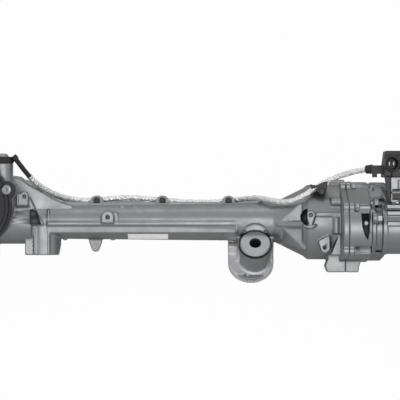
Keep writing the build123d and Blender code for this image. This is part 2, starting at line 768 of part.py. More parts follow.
def belt_housing():
    """Right casting: belt case, motor face and the tube that the rack leaves through."""
    body = seam_flange(SEAM_X + FACE_GAP, SEAM_X + 8)
    body += twin_circle(BELT_CASE_R, LOBE_R, SEAM_X + 6, BELT_CASE_END)
    body += turned(
        RACK,
        (0, BELT_CASE_END - 5),
        (BELT_CASE_R - 2, BELT_CASE_END - 5),
        (BELT_CASE_R - 2, SHOULDER_END - 6),
        (BELT_CASE_R - 8, SHOULDER_END),
        (RIGHT_TUBE_R + 4, SHOULDER_END + 4),
        (RIGHT_TUBE_R, SHOULDER_END + 10),
        (RIGHT_TUBE_R, CASTING_RIGHT - CUFF_SEAT_LEN - 4),
        (CUFF_SEAT_R, CASTING_RIGHT - CUFF_SEAT_LEN),
        (CUFF_SEAT_R, CASTING_RIGHT),
        (0, CASTING_RIGHT),
    )
    body -= ring(MOTOR, 0, MOTOR_R + 1.5, BELT_CASE_END, SHOULDER_END + 20)
    for y, z in motor_bolt_places():
        body -= rod(10, (BELT_CASE_END, y, z), (SHOULDER_END + 20, y, z))
    body += foot(SEAM_X + FACE_GAP, FOOT_RIGHT + 1)
    pulley_end = PULLEY_START + PULLEY_WIDTH + 1
    body -= twin_circle(DRIVEN_R + 5, DRIVE_R + 6, SEAM_X - 1, pulley_end)
    body -= turned(
        RACK,
        (0, SEAM_X - 1),
        (RACK_BORE_R, SEAM_X - 1),
        (RACK_BORE_R, STOP_RIGHT),
        (JOINT_R + 2, STOP_RIGHT),
        (JOINT_R + 2, CASTING_RIGHT + 1),
        (0, CASTING_RIGHT + 1),
    )
    body -= ring(MOTOR, 0, 12, pulley_end - 1, BELT_CASE_END + 1)
    for y, z in case_bolt_places():
        body -= rod(4.3, (SEAM_X - 1, y, z), (SEAM_X + 12, y, z))
        body -= rod(8.2, (SEAM_X + 8.02, y, z), (SEAM_X + 40, y, z))
    for y, z in motor_bolt_places():
        body -= rod(3.4, (BELT_CASE_END - 3.5, y, z), (BELT_CASE_END + 1, y, z))
    return body


# Pinion, sensor and rack guide

def involute_flank(base, tip, steps=6):
    """Points of one involute from the base circle to the tip circle, as (radius, angle)."""
    points = []
    end = sqrt((tip / base) ** 2 - 1)
    for i in range(steps + 1):
        roll = end * i / steps
        points.append((base * sqrt(1 + roll * roll), roll - atan2(roll, 1)))
    return points


def pinion_section():
    """Cross-section of the shifted involute pinion, one tooth pointing down the local -x."""
    alpha = radians(PRESSURE_ANGLE)
    base = PINION_PITCH_R * cos(alpha)
    half_tooth = (pi / 2 + 2 * PROFILE_SHIFT * tan(alpha)) / PINION_TEETH + tan(alpha) - alpha
    flank = involute_flank(base, PINION_TIP_R)
    points = []
    for i in range(PINION_TEETH):
        centre = pi + 2 * pi * i / PINION_TEETH
        gap = pi / PINION_TEETH
        points.append((PINION_ROOT_R, centre - gap))
        points.append((PINION_ROOT_R, centre - half_tooth))
        points += [(r, centre - half_tooth + a) for r, a in flank]
        points += [(r, centre + half_tooth - a) for r, a in reversed(flank)]
        points.append((PINION_ROOT_R, centre + half_tooth))
    return make_face(Polyline(*[(r * cos(a), r * sin(a)) for r, a in points], close=True))


def pinion_shaft():
    """Pinion with its journals and the cup that takes the input shaft's spigot."""
    low = -TOOTH_FACE / 2
    shaft = PINION * (Pos(0, 0, low) * extrude(pinion_section(), TOOTH_FACE))
    shaft += ring(PINION, 0, PINION_LOW_R, low - LOW_BEARING_WIDTH - 1, low + 1)
    shaft += ring(PINION, 0, PINION_NECK_R, -low - 1, CUP_END)
    shaft -= ring(PINION, 0, SPIGOT_R + RUN_FIT, CUP_END - 14, CUP_END + 1)
    return shaft - ring(PINION, 0, TORSION_R + SEAT_FIT, -8, CUP_END)


def torsion_bar():
    """Torsion bar pinned in the pinion, free in the input shaft up to its top."""
    return ring(PINION, 0, TORSION_R, -8, INPUT_END - 14)


def input_shaft():
    """Hollow input shaft with its spigot, sensor seat and splined end."""
    shaft = ring(PINION, 0, SPIGOT_R, CUP_END - 13.5, CUP_END + 1)
    shaft += ring(PINION, 0, INPUT_R, CUP_END + SOFT_GAP, INPUT_END)
    root = INPUT_R - 0.8
    spline_start = INPUT_END - SPLINE_LEN
    shaft -= ring(PINION, INPUT_R - 0.9, INPUT_R + 2, spline_start - 3, spline_start)
    shaft -= ring(PINION, INPUT_R - 0.9, INPUT_R + 2, INPUT_END - 2, INPUT_END + 1)
    groove = Pos(INPUT_R, 0, 0) * Box(2 * (INPUT_R - root), SPLINE_GAP, 2 * SPLINE_LEN)
    for angle in around(SPLINE_TEETH):
        shaft -= PINION * (Pos(0, 0, INPUT_END) * (Rot(0, 0, angle) * groove))
    return shaft - ring(PINION, 0, TORSION_R + RUN_FIT, 0, INPUT_END - 13)


def lower_bearing():
    """Needle bearing at the foot of the pinion."""
    top = -TOOTH_FACE / 2 - 0.5
    return ring(PINION, PINION_LOW_R + RUN_FIT, LOW_BEARING_R, top - LOW_BEARING_WIDTH + 1, top)


def upper_bearing():
    """Ball bearing above the pinion teeth, with its seals set in on both faces."""
    start = TOOTH_FACE / 2 + 2.1
    end = start + UP_BEARING_WIDTH
    bearing = ring(PINION, PINION_NECK_R + RUN_FIT, UP_BEARING_R, start, end)
    for a, b in ((start - 1, start + 0.8), (end - 0.8, end + 1)):
        bearing -= ring(PINION, PINION_NECK_R + 3, UP_BEARING_R - 3, a, b)
    return bearing


def bearing_nut():
    """Slotted nut that locks the upper bearing."""
    start = TOOTH_FACE / 2 + 2.1 + UP_BEARING_WIDTH + FACE_GAP
    nut = ring(PINION, PINION_NECK_R + 2, UP_BEARING_R, start, start + 7)
    for angle in around(4):
        nut -= PINION * (Rot(0, 0, angle) * (Pos(UP_BEARING_R - 1, 0, start + 6) * Box(6, 4, 5)))
    return nut


def torque_sensor():
    """Sensor ring that reads the magnet on the input shaft."""
    start = FLANGE_START - 1 + FACE_GAP
    sensor = ring(PINION, INPUT_R + 4, SENSOR_R, start, start + 11)
    return sensor - ring(PINION, INPUT_R + 8, SENSOR_R - 4, start + 8, start + 12)


def sensor_magnet():
    """Magnet ring on the input shaft."""
    return ring(PINION, INPUT_R + SEAT_FIT, INPUT_R + 3.6, FLANGE_START + 1, FLANGE_START + 8)


def cover_outline(start, end, radius, lobe):
    """Round plate with three screw lobes."""
    plate = ring(COVER, 0, radius, start, end)
    for angle in around(3, COVER_LOBE_ANGLE):
        plate += cover_lobe(angle, lobe, start, end)
    return plate


def sensor_gasket():
    """Thin rubber gasket between the flange and the cover."""
    start = COVER_START + FACE_GAP
    gasket = cover_outline(start, start + 1, COVER_R - 1.5, COVER_LOBE_R - 1)
    gasket -= ring(COVER, 0, COVER_R - 7, start - 1, start + 2)
    for angle in around(3, COVER_LOBE_ANGLE):
        gasket -= cover_lobe(angle, 3.4, start - 1, start + 2)
    return gasket


def sensor_cover():
    """Moulded cover with a raised outer ring and a hub for the shaft seal."""
    start = COVER_START + 1 + 2 * FACE_GAP
    end = COVER_START + COVER_THICK
    cover = cover_outline(start, end - 3, COVER_R, COVER_LOBE_R)
    cover += turned(COVER, (0, start), (COVER_R - 1, start), (COVER_R - 3, end), (COVER_R - 7, end),
                    (COVER_R - 9, end - 2.5), (0, end - 2.5))
    cover += ring(PINION, 0, 21, start, end + 7)
    cover -= ring(COVER, 0, COVER_R - 12, start - 1, end - 5.5)
    cover -= ring(PINION, 0, 15 + SEAT_FIT, start - 1, end + 5)
    cover -= ring(PINION, 0, 12, start - 1, end + 8)
    for angle in around(3, COVER_LOBE_ANGLE):
        cover -= cover_lobe(angle, 3.4, start - 1, end)
        cover -= cover_lobe(angle, 8.0, end - 3, end + 1)
    return cover


def input_seal():
    """Lip seal round the input shaft in the cover's hub."""
    end = COVER_START + COVER_THICK + 5
    seal = ring(PINION, 11, 15, end - 8, end - FACE_GAP)
    seal += ring(PINION, INPUT_R + RUN_FIT, 12, end - 6, end - 3)
    return seal


def cover_screws():
    """Three flanged screws of the sensor cover."""
    head = COVER_START + COVER_THICK - 3 + FACE_GAP
    screws = Part()
    for angle in around(3, COVER_LOBE_ANGLE):
        u, v = lobe_centre(angle)
        frame = COVER * Pos(u, v, 0)
        screw = Cylinder(6.8, 1.6, align=(Align.CENTER, Align.CENTER, Align.MIN))
        screw += Pos(0, 0, 1.6) * Cone(5.2, 4.6, 3.2, align=(Align.CENTER, Align.CENTER, Align.MIN))
        screw -= Pos(0, 0, 2.4) * extrude(RegularPolygon(2.6, 6), 3)
        screw += Pos(0, 0, 1) * Cylinder(2.55, 14, align=(Align.CENTER, Align.CENTER, Align.MAX))
        screws += frame * (Pos(0, 0, head) * screw)
    return screws


def yoke():
    """Rack guide with a round cradle for the back of the rack."""
    body = rod(YOKE_R, (PINION_X, 0, YOKE_BASE), (PINION_X, 0, -3.9))
    body -= rod(RACK_R + RUN_FIT, (PINION_X - 40, 0, 0), (PINION_X + 40, 0, 0))
    groove_z = YOKE_BASE + 6
    yoke_frame = Plane(origin=(PINION_X, 0, 0), z_dir=(0, 0, 1))
    body -= ring(yoke_frame, YOKE_R - 1.6, YOKE_R + 1, groove_z, groove_z + 2.6)
    return body


def yoke_spring():
    """Disc spring under the rack guide."""
    frame = Plane(origin=(PINION_X, 0, YOKE_BASE - SPRING_HEIGHT), z_dir=(0, 0, 1))
    rise = SPRING_HEIGHT - 2 * FACE_GAP
    return turned(frame, (YOKE_R - 1, FACE_GAP), (YOKE_R - 1, FACE_GAP + 1.2), (6.5, rise), (6.5, rise - 1.2))


def yoke_plug():
    """Threaded plug that sets the rack guide, with a hexagon socket."""
    top = YOKE_BASE - SPRING_HEIGHT - FACE_GAP
    plug = rod(PLUG_R, (PINION_X, 0, PLUG_END), (PINION_X, 0, top))
    socket = extrude(RegularPolygon(8.0, 6), 9)
    return plug - Pos(PINION_X, 0, PLUG_END - 1) * socket


# Rack, nut and bearings

def rack_bar():
    """Toothed rack bar with the ball screw length left plain."""
    bar = turned(
        RACK,
        (0, RACK_LEFT),
        (RACK_R - BAR_CHAMFER, RACK_LEFT),
        (RACK_R, RACK_LEFT + BAR_CHAMFER),
        (RACK_R, RACK_RIGHT - BAR_CHAMFER),
        (RACK_R - BAR_CHAMFER, RACK_RIGHT),
        (0, RACK_RIGHT),
    )
    reach = TRAVEL + PINION_TIP_R + 2
    tip_z = RACK_PITCH_Z + MODULE
    root_z = RACK_PITCH_Z - 1.25 * MODULE
    alpha = radians(PRESSURE_ANGLE)
    count = int(2 * reach / TOOTH_PITCH_X)
    left = PINION_X - count * TOOTH_PITCH_X / 2
    outline = [(left - 3, tip_z + 9), (left - 3, root_z)]
    for i in range(count):
        middle = left + (i + 0.5) * TOOTH_PITCH_X
        pitch_half = TOOTH_PITCH_X / 4 - BACKLASH / 2 / cos(LEAN)
        tip_half = pitch_half - MODULE * tan(alpha) / cos(LEAN)
        root_half = pitch_half + 1.25 * MODULE * tan(alpha) / cos(LEAN)
        outline += [(middle - root_half, root_z), (middle - tip_half, tip_z)]
        outline += [(middle + tip_half, tip_z), (middle + root_half, root_z)]
    outline += [(left + count * TOOTH_PITCH_X + 3, root_z), (left + count * TOOTH_PITCH_X + 3, tip_z + 9)]
    cutter = Plane.XZ * make_face(Polyline(*outline, close=True))
    swept = extrude(cutter, 3 * RACK_R, dir=PINION_AXIS, both=True)
    return bar - swept


def ball_nut():
    """Ball nut with the inner bearing race turned on it."""
    return turned(
        RACK,
        (RACK_R + RUN_FIT, NUT_START),
        (NUT_R - 2, NUT_START),
        (NUT_R, NUT_START + 2),
        (NUT_R, BEARING_START + 1),
        (RACE_R, BEARING_START + 1),
        (RACE_R, BEARING_END - 1),
        (NUT_R, BEARING_END - 1),
        (NUT_R, PULLEY_START + PULLEY_WIDTH),
        (RACK_R + RUN_FIT, PULLEY_START + PULLEY_WIDTH),
    )


def nut_bearing():
    """Outer ring of the angular contact bearing round the nut."""
    inner = RACE_R + RUN_FIT
    ring_body = ring(RACK, inner, BEARING_R, BEARING_START + FACE_GAP, BEARING_END)
    for a, b in ((BEARING_START - 1, BEARING_START + 1.6), (BEARING_END - 1.6, BEARING_END + 1)):
        ring_body -= ring(RACK, inner - 1, inner + 3, a, b)
    return ring_body


def bearing_retainer():
    """Slotted ring that clamps the bearing in the casting."""
    start = BEARING_END + FACE_GAP
    retainer = ring(RACK, RACE_R + 3, CASE_R - CASE_WALL - SEAT_FIT, start, start + 7)
    for angle in around(6, 30):
        retainer -= RACK * (Rot(0, 0, angle) * (Pos(RACE_R + 5, 0, start + 6) * Box(8, 6, 5)))
    return retainer


def pulley(frame, bore, radius):
    """Belt pulley with side flanges."""
    end = PULLEY_START + PULLEY_WIDTH
    wheel = ring(frame, bore + SEAT_FIT, radius, PULLEY_START, end)
    wheel += ring(frame, bore + SEAT_FIT, radius + 2.2, PULLEY_START, PULLEY_START + PULLEY_FLANGE / 2)
    wheel += ring(frame, bore + SEAT_FIT, radius + 2.2, end - PULLEY_FLANGE / 2, end)
    return wheel


def driven_pulley():
    """Large pulley on the nut, lightened by round holes."""
    wheel = pulley(RACK, NUT_R, DRIVEN_R)
    mid = PULLEY_START + PULLEY_WIDTH / 2
    for angle in around(6):
        at = (NUT_R + DRIVEN_R) / 2
        wheel -= RACK * (Rot(0, 0, angle) * (Pos(at, 0, mid) * Cylinder(4.5, 2 * PULLEY_WIDTH)))
    return wheel


def drive_pulley():
    """Small pulley on the motor shaft."""
    return pulley(MOTOR, MOTOR_SHAFT_R, DRIVE_R)


def drive_belt():
    """Belt round both pulleys."""
    start = PULLEY_START + (PULLEY_WIDTH - BELT_WIDTH) / 2
    grip = 0.1
    proud = grip + BELT_THICKNESS
    outer = twin_circle(DRIVEN_R + proud, DRIVE_R + proud, start, start + BELT_WIDTH)
    inner = twin_circle(DRIVEN_R + grip, DRIVE_R + grip, start - 1, start + BELT_WIDTH + 1)
    return outer - inner


def right_rack_bush():
    """Polymer bush that guides the screw end of the rack."""
    return ring(RACK, RACK_R + RUN_FIT, RACK_BORE_R - SEAT_FIT, STOP_RIGHT - 20, STOP_RIGHT - 6)


def end_ring(stop, side):
    """Elastomer ring at a rack stop."""
    outer = RACK_BORE_R - SEAT_FIT
    start = stop if side > 0 else stop - 5
    return ring(RACK, RACK_R + SOFT_GAP, outer, start, start + 5)


# Motor and control unit

def motor_bolt_places():
    """Centres of the three motor bolts."""
    places = []
    for angle in MOTOR_BOLT_ANGLES:
        y = MOTOR_Y - MOTOR_BOLT_CIRCLE * cos(radians(angle))
        z = MOTOR_Z + MOTOR_BOLT_CIRCLE * sin(radians(angle))
        places.append((y, z))
    return places


def motor_housing():
    """Motor can with its mounting flange and the front bearing seat."""
    face = MOTOR_FACE_X + FACE_GAP
    can = turned(
        MOTOR,
        (0, face),
        (MOTOR_R, face),
        (MOTOR_R, face + MOTOR_FLANGE),
        (MOTOR_NECK_R, face + MOTOR_FLANGE),
        (MOTOR_NECK_R, MOTOR_NECK_END - 1),
        (MOTOR_R, MOTOR_NECK_END + 1),
        (MOTOR_R, MOTOR_END - 3),
        (MOTOR_R - 3, MOTOR_END),
        (0, MOTOR_END),
    )
    for y, z in motor_bolt_places():
        can += rod(8.5, (face, y, z), (face + MOTOR_FLANGE, y, z))
    can -= turned(
        MOTOR,
        (0, face - 1),
        (MOTOR_SHAFT_R + 1.5, face - 1),
        (MOTOR_SHAFT_R + 1.5, face + 2),
        (16 + SEAT_FIT, face + 2),
        (16 + SEAT_FIT, face + 14),
        (MOTOR_NECK_R - 3, face + 14),
        (MOTOR_R - MOTOR_WALL, MOTOR_NECK_END + 4),
        (MOTOR_R - MOTOR_WALL, MOTOR_END - 12),
        (14 + SEAT_FIT, MOTOR_END - 12),
        (14 + SEAT_FIT, MOTOR_END - 3),
        (0, MOTOR_END - 3),
    )
    for y, z in motor_bolt_places():
        can -= rod(4.2, (face - 1, y, z), (face + MOTOR_FLANGE + 1, y, z))
    return can


def motor_stator():
    """Laminated stator with twelve slots."""
    start = MOTOR_NECK_END + 8
    end = MOTOR_END - 24
    stator = ring(MOTOR, STATOR_BORE_R, MOTOR_R - MOTOR_WALL - SEAT_FIT, start, end)
    slot = Pos(STATOR_BORE_R + 3.6, 0, (start + end) / 2) * Box(SLOT_WIDTH, SLOT_WIDTH, end - start + 2)
    for angle in around(SLOT_COUNT):
        stator -= MOTOR * (Rot(0, 0, angle) * slot)
    return stator


def motor_rotor():
    """Magnet rotor on the motor shaft."""
    return ring(MOTOR, MOTOR_SHAFT_R + SEAT_FIT, STATOR_BORE_R - 0.5, MOTOR_NECK_END + 10, MOTOR_END - 26)


def motor_shaft():
    """Motor shaft from the drive pulley to the rear bearing."""
    return ring(MOTOR, 0, MOTOR_SHAFT_R, PULLEY_START - 1, MOTOR_END - 3.5)


def motor_bearing(outer, start, end):
    """Sealed bearing of the motor shaft."""
    return ring(MOTOR, MOTOR_SHAFT_R + RUN_FIT, outer, start, end)


def hex_bolt(across, head, shank_r, shank):
    """Flanged hexagon bolt, head above its own plane and shank below it."""
    bolt = Cylinder(across * 0.68, 1.5, align=(Align.CENTER, Align.CENTER, Align.MIN))
    bolt += extrude(RegularPolygon(across / 2, 6, major_radius=False), head)
    bolt += Cylinder(shank_r, shank, align=(Align.CENTER, Align.CENTER, Align.MAX))
    return bolt


def motor_bolts():
    """Three bolts that hold the motor."""
    bolts = Part()
    head_x = MOTOR_FACE_X + 2 * FACE_GAP + MOTOR_FLANGE
    for y, z in motor_bolt_places():
        frame = Plane(origin=(head_x, y, z), z_dir=(1, 0, 0))
        bolts += frame * hex_bolt(11.0, 7.5, 3.3, MOTOR_FLANGE + 3)
    return bolts


def case_bolts():
    """Screws that join the two castings."""
    bolts = Part()
    for y, z in case_bolt_places():
        frame = Plane(origin=(SEAM_X + 8 + 2 * FACE_GAP, y, z), z_dir=(1, 0, 0))
        bolts += frame * hex_bolt(10.0, 6.5, 3.3, 13)
    return bolts


def control_housing():
    """Finned tray of the control unit with its saddle on the motor."""
    tray = block(UNIT_LEFT, UNIT_RIGHT, UNIT_FRONT, UNIT_BACK, UNIT_BOTTOM, UNIT_TOP)
    tray -= block(UNIT_LEFT + UNIT_WALL, UNIT_RIGHT - UNIT_WALL, UNIT_FRONT + UNIT_WALL,
                  UNIT_BACK - UNIT_WALL, UNIT_BOTTOM + UNIT_WALL, UNIT_TOP + 1)
    saddle = block(UNIT_LEFT + 16, UNIT_RIGHT - 14, MOTOR_Y - 22, MOTOR_Y + 22, 10, UNIT_BOTTOM + 1)
    saddle -= rod(MOTOR_R + SEAT_FIT, (UNIT_LEFT, MOTOR_Y, MOTOR_Z), (UNIT_RIGHT, MOTOR_Y, MOTOR_Z))
    tray += saddle
    for i in range(7):
        x = UNIT_LEFT + 10 + 15 * i
        tray += block(x, x + 3, UNIT_FRONT - 3, UNIT_FRONT + 1, UNIT_BOTTOM + 2, UNIT_TOP - 5)
    return tray


def control_board():
    """Circuit board in the control unit."""
    gap = UNIT_WALL + 1
    return block(UNIT_LEFT + gap, UNIT_RIGHT - gap, UNIT_FRONT + gap, UNIT_BACK - gap,
                 UNIT_BOTTOM + UNIT_WALL + FACE_GAP, UNIT_BOTTOM + UNIT_WALL + 2)


def control_cover():
    """Lid over the part of the control unit that the connector block leaves free."""
    return block(PLUG_BLOCK_RIGHT + 1, UNIT_RIGHT, UNIT_FRONT, UNIT_BACK, UNIT_TOP + FACE_GAP, UNIT_TOP + 5)


def connector_block():
    """Moulded block with the two round sockets and the side socket of the lead."""
    low = UNIT_TOP + FACE_GAP
    body = block(PLUG_BLOCK_LEFT, PLUG_BLOCK_RIGHT, PLUG_BLOCK_FRONT, PLUG_BLOCK_BACK, low, PLUG_BLOCK_TOP)
    step_y = PLUG_BLOCK_FRONT + 1
    body += block(UNIT_LEFT + 2, PLUG_BLOCK_RIGHT, UNIT_FRONT + 0.5, step_y, low, low + 12)
    right = UNIT_LEFT - 0.5
    tip_z = UNIT_BOTTOM + 6
    leg = ((PLUG_BLOCK_LEFT, low + 1), (right, low + 1), (right, tip_z), (right - 4, tip_z))
    body += front_plate(UNIT_FRONT + 1, UNIT_FRONT + 7, *leg)
    for x, z in ((SOCKET_X, SOCKET_Z), (SOCKET_X + SOCKET_STEP, SOCKET_Z)):
        body += rod(SOCKET_R, (x, PLUG_BLOCK_FRONT - 4, z), (x, PLUG_BLOCK_FRONT + 6, z))
        body -= rod(SOCKET_BORE, (x, PLUG_BLOCK_FRONT - 5, z), (x, PLUG_BLOCK_FRONT + SOCKET_DEPTH - 4, z))
    _, y, z = SLEEVE_ROUTE[-1]
    return body - block(PLUG_BLOCK_LEFT - 1, PLUG_BLOCK_LEFT + 10, y - 8.3, y + 8.3, z - 6.3, z + 6.3)


def socket_pins():
    """Contact blades in the two round sockets."""
    pins = Part()
    end = PLUG_BLOCK_FRONT + SOCKET_DEPTH - 4
    for x, z in ((SOCKET_X, SOCKET_Z), (SOCKET_X + SOCKET_STEP, SOCKET_Z)):
        for dx in (-3.0, 3.0):
            pins += block(x + dx - 0.8, x + dx + 0.8, end - 9, end - FACE_GAP, z - 2.5, z + 2.5)
    return pins


# Right mount bushing

def bushing_shell():
    """Steel outer shell of the bushing, pressed in the boss."""
    inner = BUSH_SHELL_R - BUSH_SHELL_WALL
    return ring(BUSH, inner, BUSH_SHELL_R, BUSH_SEAT + 8 + FACE_GAP, BUSH_TOP - BUSH_DISC_THICK - 2.2)


def bushing_rubber():
    """Rubber between the shell and the core, with a lip under the top disc."""
    top = BUSH_TOP - BUSH_DISC_THICK - FACE_GAP
    lip = top - 2 + 2 * FACE_GAP
    outer = BUSH_SHELL_R - BUSH_SHELL_WALL - FACE_GAP
    core = BUSH_CORE_R + FACE_GAP
    return turned(BUSH, (core, BUSH_SEAT + 10), (outer, BUSH_SEAT + 10), (outer, lip),
                  (BUSH_RING_R, lip), (BUSH_RING_R, top), (core, top))


def bushing_core():
    """Inner sleeve of the bushing with its wide top disc and chamfered bore."""
    low = BUSH_TOP - BUSH_DISC_THICK
    return turned(
        BUSH,
        (BUSH_BORE_R, BUSH_SEAT),
        (BUSH_CORE_R, BUSH_SEAT),
        (BUSH_CORE_R, low),
        (BUSH_DISC_R, low),
        (BUSH_DISC_R, BUSH_TOP - 1.2),
        (BUSH_DISC_R - 1.2, BUSH_TOP),
        (BUSH_BORE_R + 1, BUSH_TOP),
        (BUSH_BORE_R, BUSH_TOP - 1),
    )


# Tie rods and bellows

def side_frame(side):
    """Frame at a rack end, z pointing out of the gear."""
    x = RACK_RIGHT if side > 0 else RACK_LEFT
    return Plane(origin=(x, 0, 0), x_dir=(0, 0, 1), z_dir=(side, 0, 0))


def inner_joint(side):
    """Ball joint housing on the rack end."""
    mouth = sqrt((BALL_R + RUN_FIT) ** 2 - 8.0 ** 2)
    body = turned(
        side_frame(side),
        (0, FACE_GAP),
        (JOINT_R - 1.5, FACE_GAP),
        (JOINT_R, FACE_GAP + 1.5),
        (JOINT_R, JOINT_LEN - 8),
        (JOINT_R - 3.5, JOINT_LEN),
        (0, JOINT_LEN),
    )
    body -= side_frame(side) * (Pos(0, 0, BALL_DEPTH) * Sphere(BALL_R + RUN_FIT))
    body -= turned(
        side_frame(side),
        (0, BALL_DEPTH + 7.9),
        (mouth, BALL_DEPTH + 7.9),
        (mouth, BALL_DEPTH + 8),
        (mouth + 3.6, JOINT_LEN + 0.1),
        (0, JOINT_LEN + 0.1),
    )
    for flat in (-1, 1):
        wrench = Pos(0, flat * (JOINT_R + 8), 8) * Box(2 * JOINT_R + 2, 20, 12)
        body -= side_frame(side) * wrench
    return body


def rod_thread_radius(side):
    """Radius of a tie rod's thread; the right one is drawn at its pitch radius."""
    return RIGHT_ROD_THREAD_R if side > 0 else LEFT_ROD_THREAD_R


def tie_rod(side):
    """Tie rod with its ball, neck, cuff groove and threaded end."""
    thread_r = rod_thread_radius(side)
    at = BALL_DEPTH
    end = at + ROD_REACH
    rod_body = turned(
        side_frame(side),
        (0, at),
        (ROD_NECK_R, at),
        (ROD_NECK_R, at + 24),
        (ROD_R, at + 30),
        (ROD_R, end - ROD_THREAD_LEN),
        (THREAD_ROOT_R, end - ROD_THREAD_LEN + 1),
        (THREAD_ROOT_R, end - ROD_THREAD_LEN + JAM_NUT_AT + NUT_THICK),
        (thread_r, end - ROD_THREAD_LEN + JAM_NUT_AT + NUT_THICK),
        (thread_r, end - THREAD_CHAMFER),
        (thread_r - THREAD_CHAMFER, end),
        (0, end),
    )
    ball = side_frame(side) * (Pos(0, 0, at) * Sphere(BALL_R))
    for flat in (-1, 1):
        wrench = Pos(0, flat * (ROD_R + 3.5), end - ROD_THREAD_LEN - 12) * Box(2 * ROD_R + 2, 10, 12)
        rod_body -= side_frame(side) * wrench
    return rod_body + ball


def jam_nut(side):
    """Lock nut on the tie rod's thread."""
    start = BALL_DEPTH + ROD_REACH - ROD_THREAD_LEN + JAM_NUT_AT
    nut = extrude(RegularPolygon(NUT_HEX_R, 6), NUT_THICK)
    nut &= Cylinder(NUT_HEX_R - 0.5, NUT_THICK, align=(Align.CENTER, Align.CENTER, Align.MIN))
    nut -= Cylinder(THREAD_ROOT_R + SEAT_FIT, 3 * NUT_THICK)
    return side_frame(side) * (Pos(0, 0, start) * nut)


def cuff_ends(side):
    """Distances along the side frame of the bellows' housing end and rod end."""
    housing_end = CASTING_RIGHT if side > 0 else CASTING_LEFT
    rack_end = RACK_RIGHT if side > 0 else RACK_LEFT
    return side * (housing_end - rack_end), BALL_DEPTH + ROD_CUFF_AT


def bellows(side):
    """Rubber bellows from the casting's end to the tie rod."""
    start, end = cuff_ends(side)
    seat = start - CUFF_SEAT_LEN + 2
    fold_start = start + 4
    fold_end = end - 16
    pitch = (fold_end - fold_start) / BELLOWS_FOLDS
    narrow = BELLOWS_ROOT_R - BELLOWS_TAPER - BELLOWS_WALL
    inner = [(CUFF_SEAT_R + SEAT_FIT, seat), (CUFF_SEAT_R + SEAT_FIT, start + 2)]
    inner += [(BELLOWS_ROOT_R - BELLOWS_WALL, fold_start), (narrow, fold_end - 2)]
    inner += [(ROD_R + SEAT_FIT, fold_end + 4), (ROD_R + SEAT_FIT, end)]
    outer = [(CUFF_SEAT_R + BELLOWS_WALL, seat), (CUFF_SEAT_R + BELLOWS_WALL, start + 2)]
    for i in range(BELLOWS_FOLDS):
        shrink = BELLOWS_TAPER * i / BELLOWS_FOLDS
        x = fold_start + pitch * i
        outer += [(BELLOWS_ROOT_R - shrink, x), (BELLOWS_PEAK_R - shrink, x + pitch / 2)]
    outer += [(ROD_CUFF_R + 5, fold_end), (ROD_CUFF_R, fold_end + 5), (ROD_CUFF_R, end)]
    return turned(side_frame(side), *outer, *reversed(inner))


def clamp(side, at, radius):
    """Band clamp with its crimped ear."""
    band = ring(side_frame(side), radius + SEAT_FIT, radius + CLAMP_THICK, at, at + CLAMP_WIDTH)
    ear = Pos(0, radius + CLAMP_THICK + 2, at + CLAMP_WIDTH / 2) * Box(6, 4.6, CLAMP_WIDTH)
    return band + side_frame(side) * ear


def housing_clamp(side):
    """Large clamp on the casting's end."""
    start, _ = cuff_ends(side)
    return clamp(side, start - CUFF_SEAT_LEN + 4, CUFF_SEAT_R + BELLOWS_WALL)


def rod_clamp(side):
    """Small clamp on the tie rod."""
    _, end = cuff_ends(side)
    return clamp(side, end - CLAMP_WIDTH - 1, ROD_CUFF_R)


# Lead with its outlet, clips and plug

def corner_radii(points):
    """Arc radius at each inner point: a share of the shorter run over tan of half the turn."""
    radii = []
    for a, b, c in zip(points, points[1:], points[2:]):
        run_in = Vector(*b) - Vector(*a)
        run_out = Vector(*c) - Vector(*b)
        turn = radians(run_in.get_angle(run_out))
        radii.append(ARC_SHARE * min(run_in.length, run_out.length) / tan(turn / 2))
    return radii


def lead_routes():
    """The two stretches of the lead, which meet in the middle of a straight run."""
    middle = (Vector(*CONDUIT_ROUTE[-1]) + Vector(*SLEEVE_ROUTE[0])) * 0.5
    split = (middle.X, middle.Y, middle.Z)
    return CONDUIT_ROUTE + (split,), (split,) + SLEEVE_ROUTE


def lead_tube(points, radius):
    """Round tube of straight runs and tangent arcs along a route."""
    path = FilletPolyline(*points, radius=corner_radii(points))
    start = Plane(origin=points[0], z_dir=Vector(*points[1]) - Vector(*points[0]))
    return sweep(start * Circle(radius), path=path)


def print_lead(name, points, radius):
    """Prints a stretch's arc radii and length, and its volume over section times length."""
    radii = corner_radii(points)
    length = FilletPolyline(*points, radius=radii).length
    share = lead_tube(points, radius).volume / (pi * radius * radius * length)
    print(name, "radii", [round(r, 1) for r in radii], "length", round(length, 1), "share", round(share, 4))


def lead_space():
    """Space that the sleeved lead needs in the clips that hold it."""
    _, sleeve = lead_routes()
    return lead_tube(sleeve, SLEEVE_R + SOFT_GAP)


def outlet_grommet():
    """Rubber grommet on the outlet tower, with the nozzle that the lead leaves by."""
    frame = Plane(origin=(OUTLET_X, OUTLET_Y, 0), z_dir=(0, 0, 1))
    low = OUTLET_TOP - 12
    seat = OUTLET_TOP + FACE_GAP
    high = OUTLET_TOP + CAP_HEIGHT
    body = turned(
        frame,
        (0, low),
        (OUTLET_BORE - 0.5, low),
        (OUTLET_BORE - 0.2, seat),
        (OUTLET_R + 0.8, seat),
        (OUTLET_R - 1, high),
        (0, high),
    )
    start = Vector(*CONDUIT_ROUTE[0])
    run = start - Vector(*CONDUIT_ROUTE[1])
    nozzle = rod(CONDUIT_R + 1.2, start, start + run.normalized() * 7)
    return body + nozzle


def outlet_cap():
    """Domed metal cap on the grommet."""
    frame = Plane(origin=(OUTLET_X, OUTLET_Y, OUTLET_TOP + CAP_HEIGHT + FACE_GAP), z_dir=(0, 0, 1))
    return turned(frame, (0, 0), (8.5, 0), (8.0, 2.2), (5.5, 4.2), (0, 5))


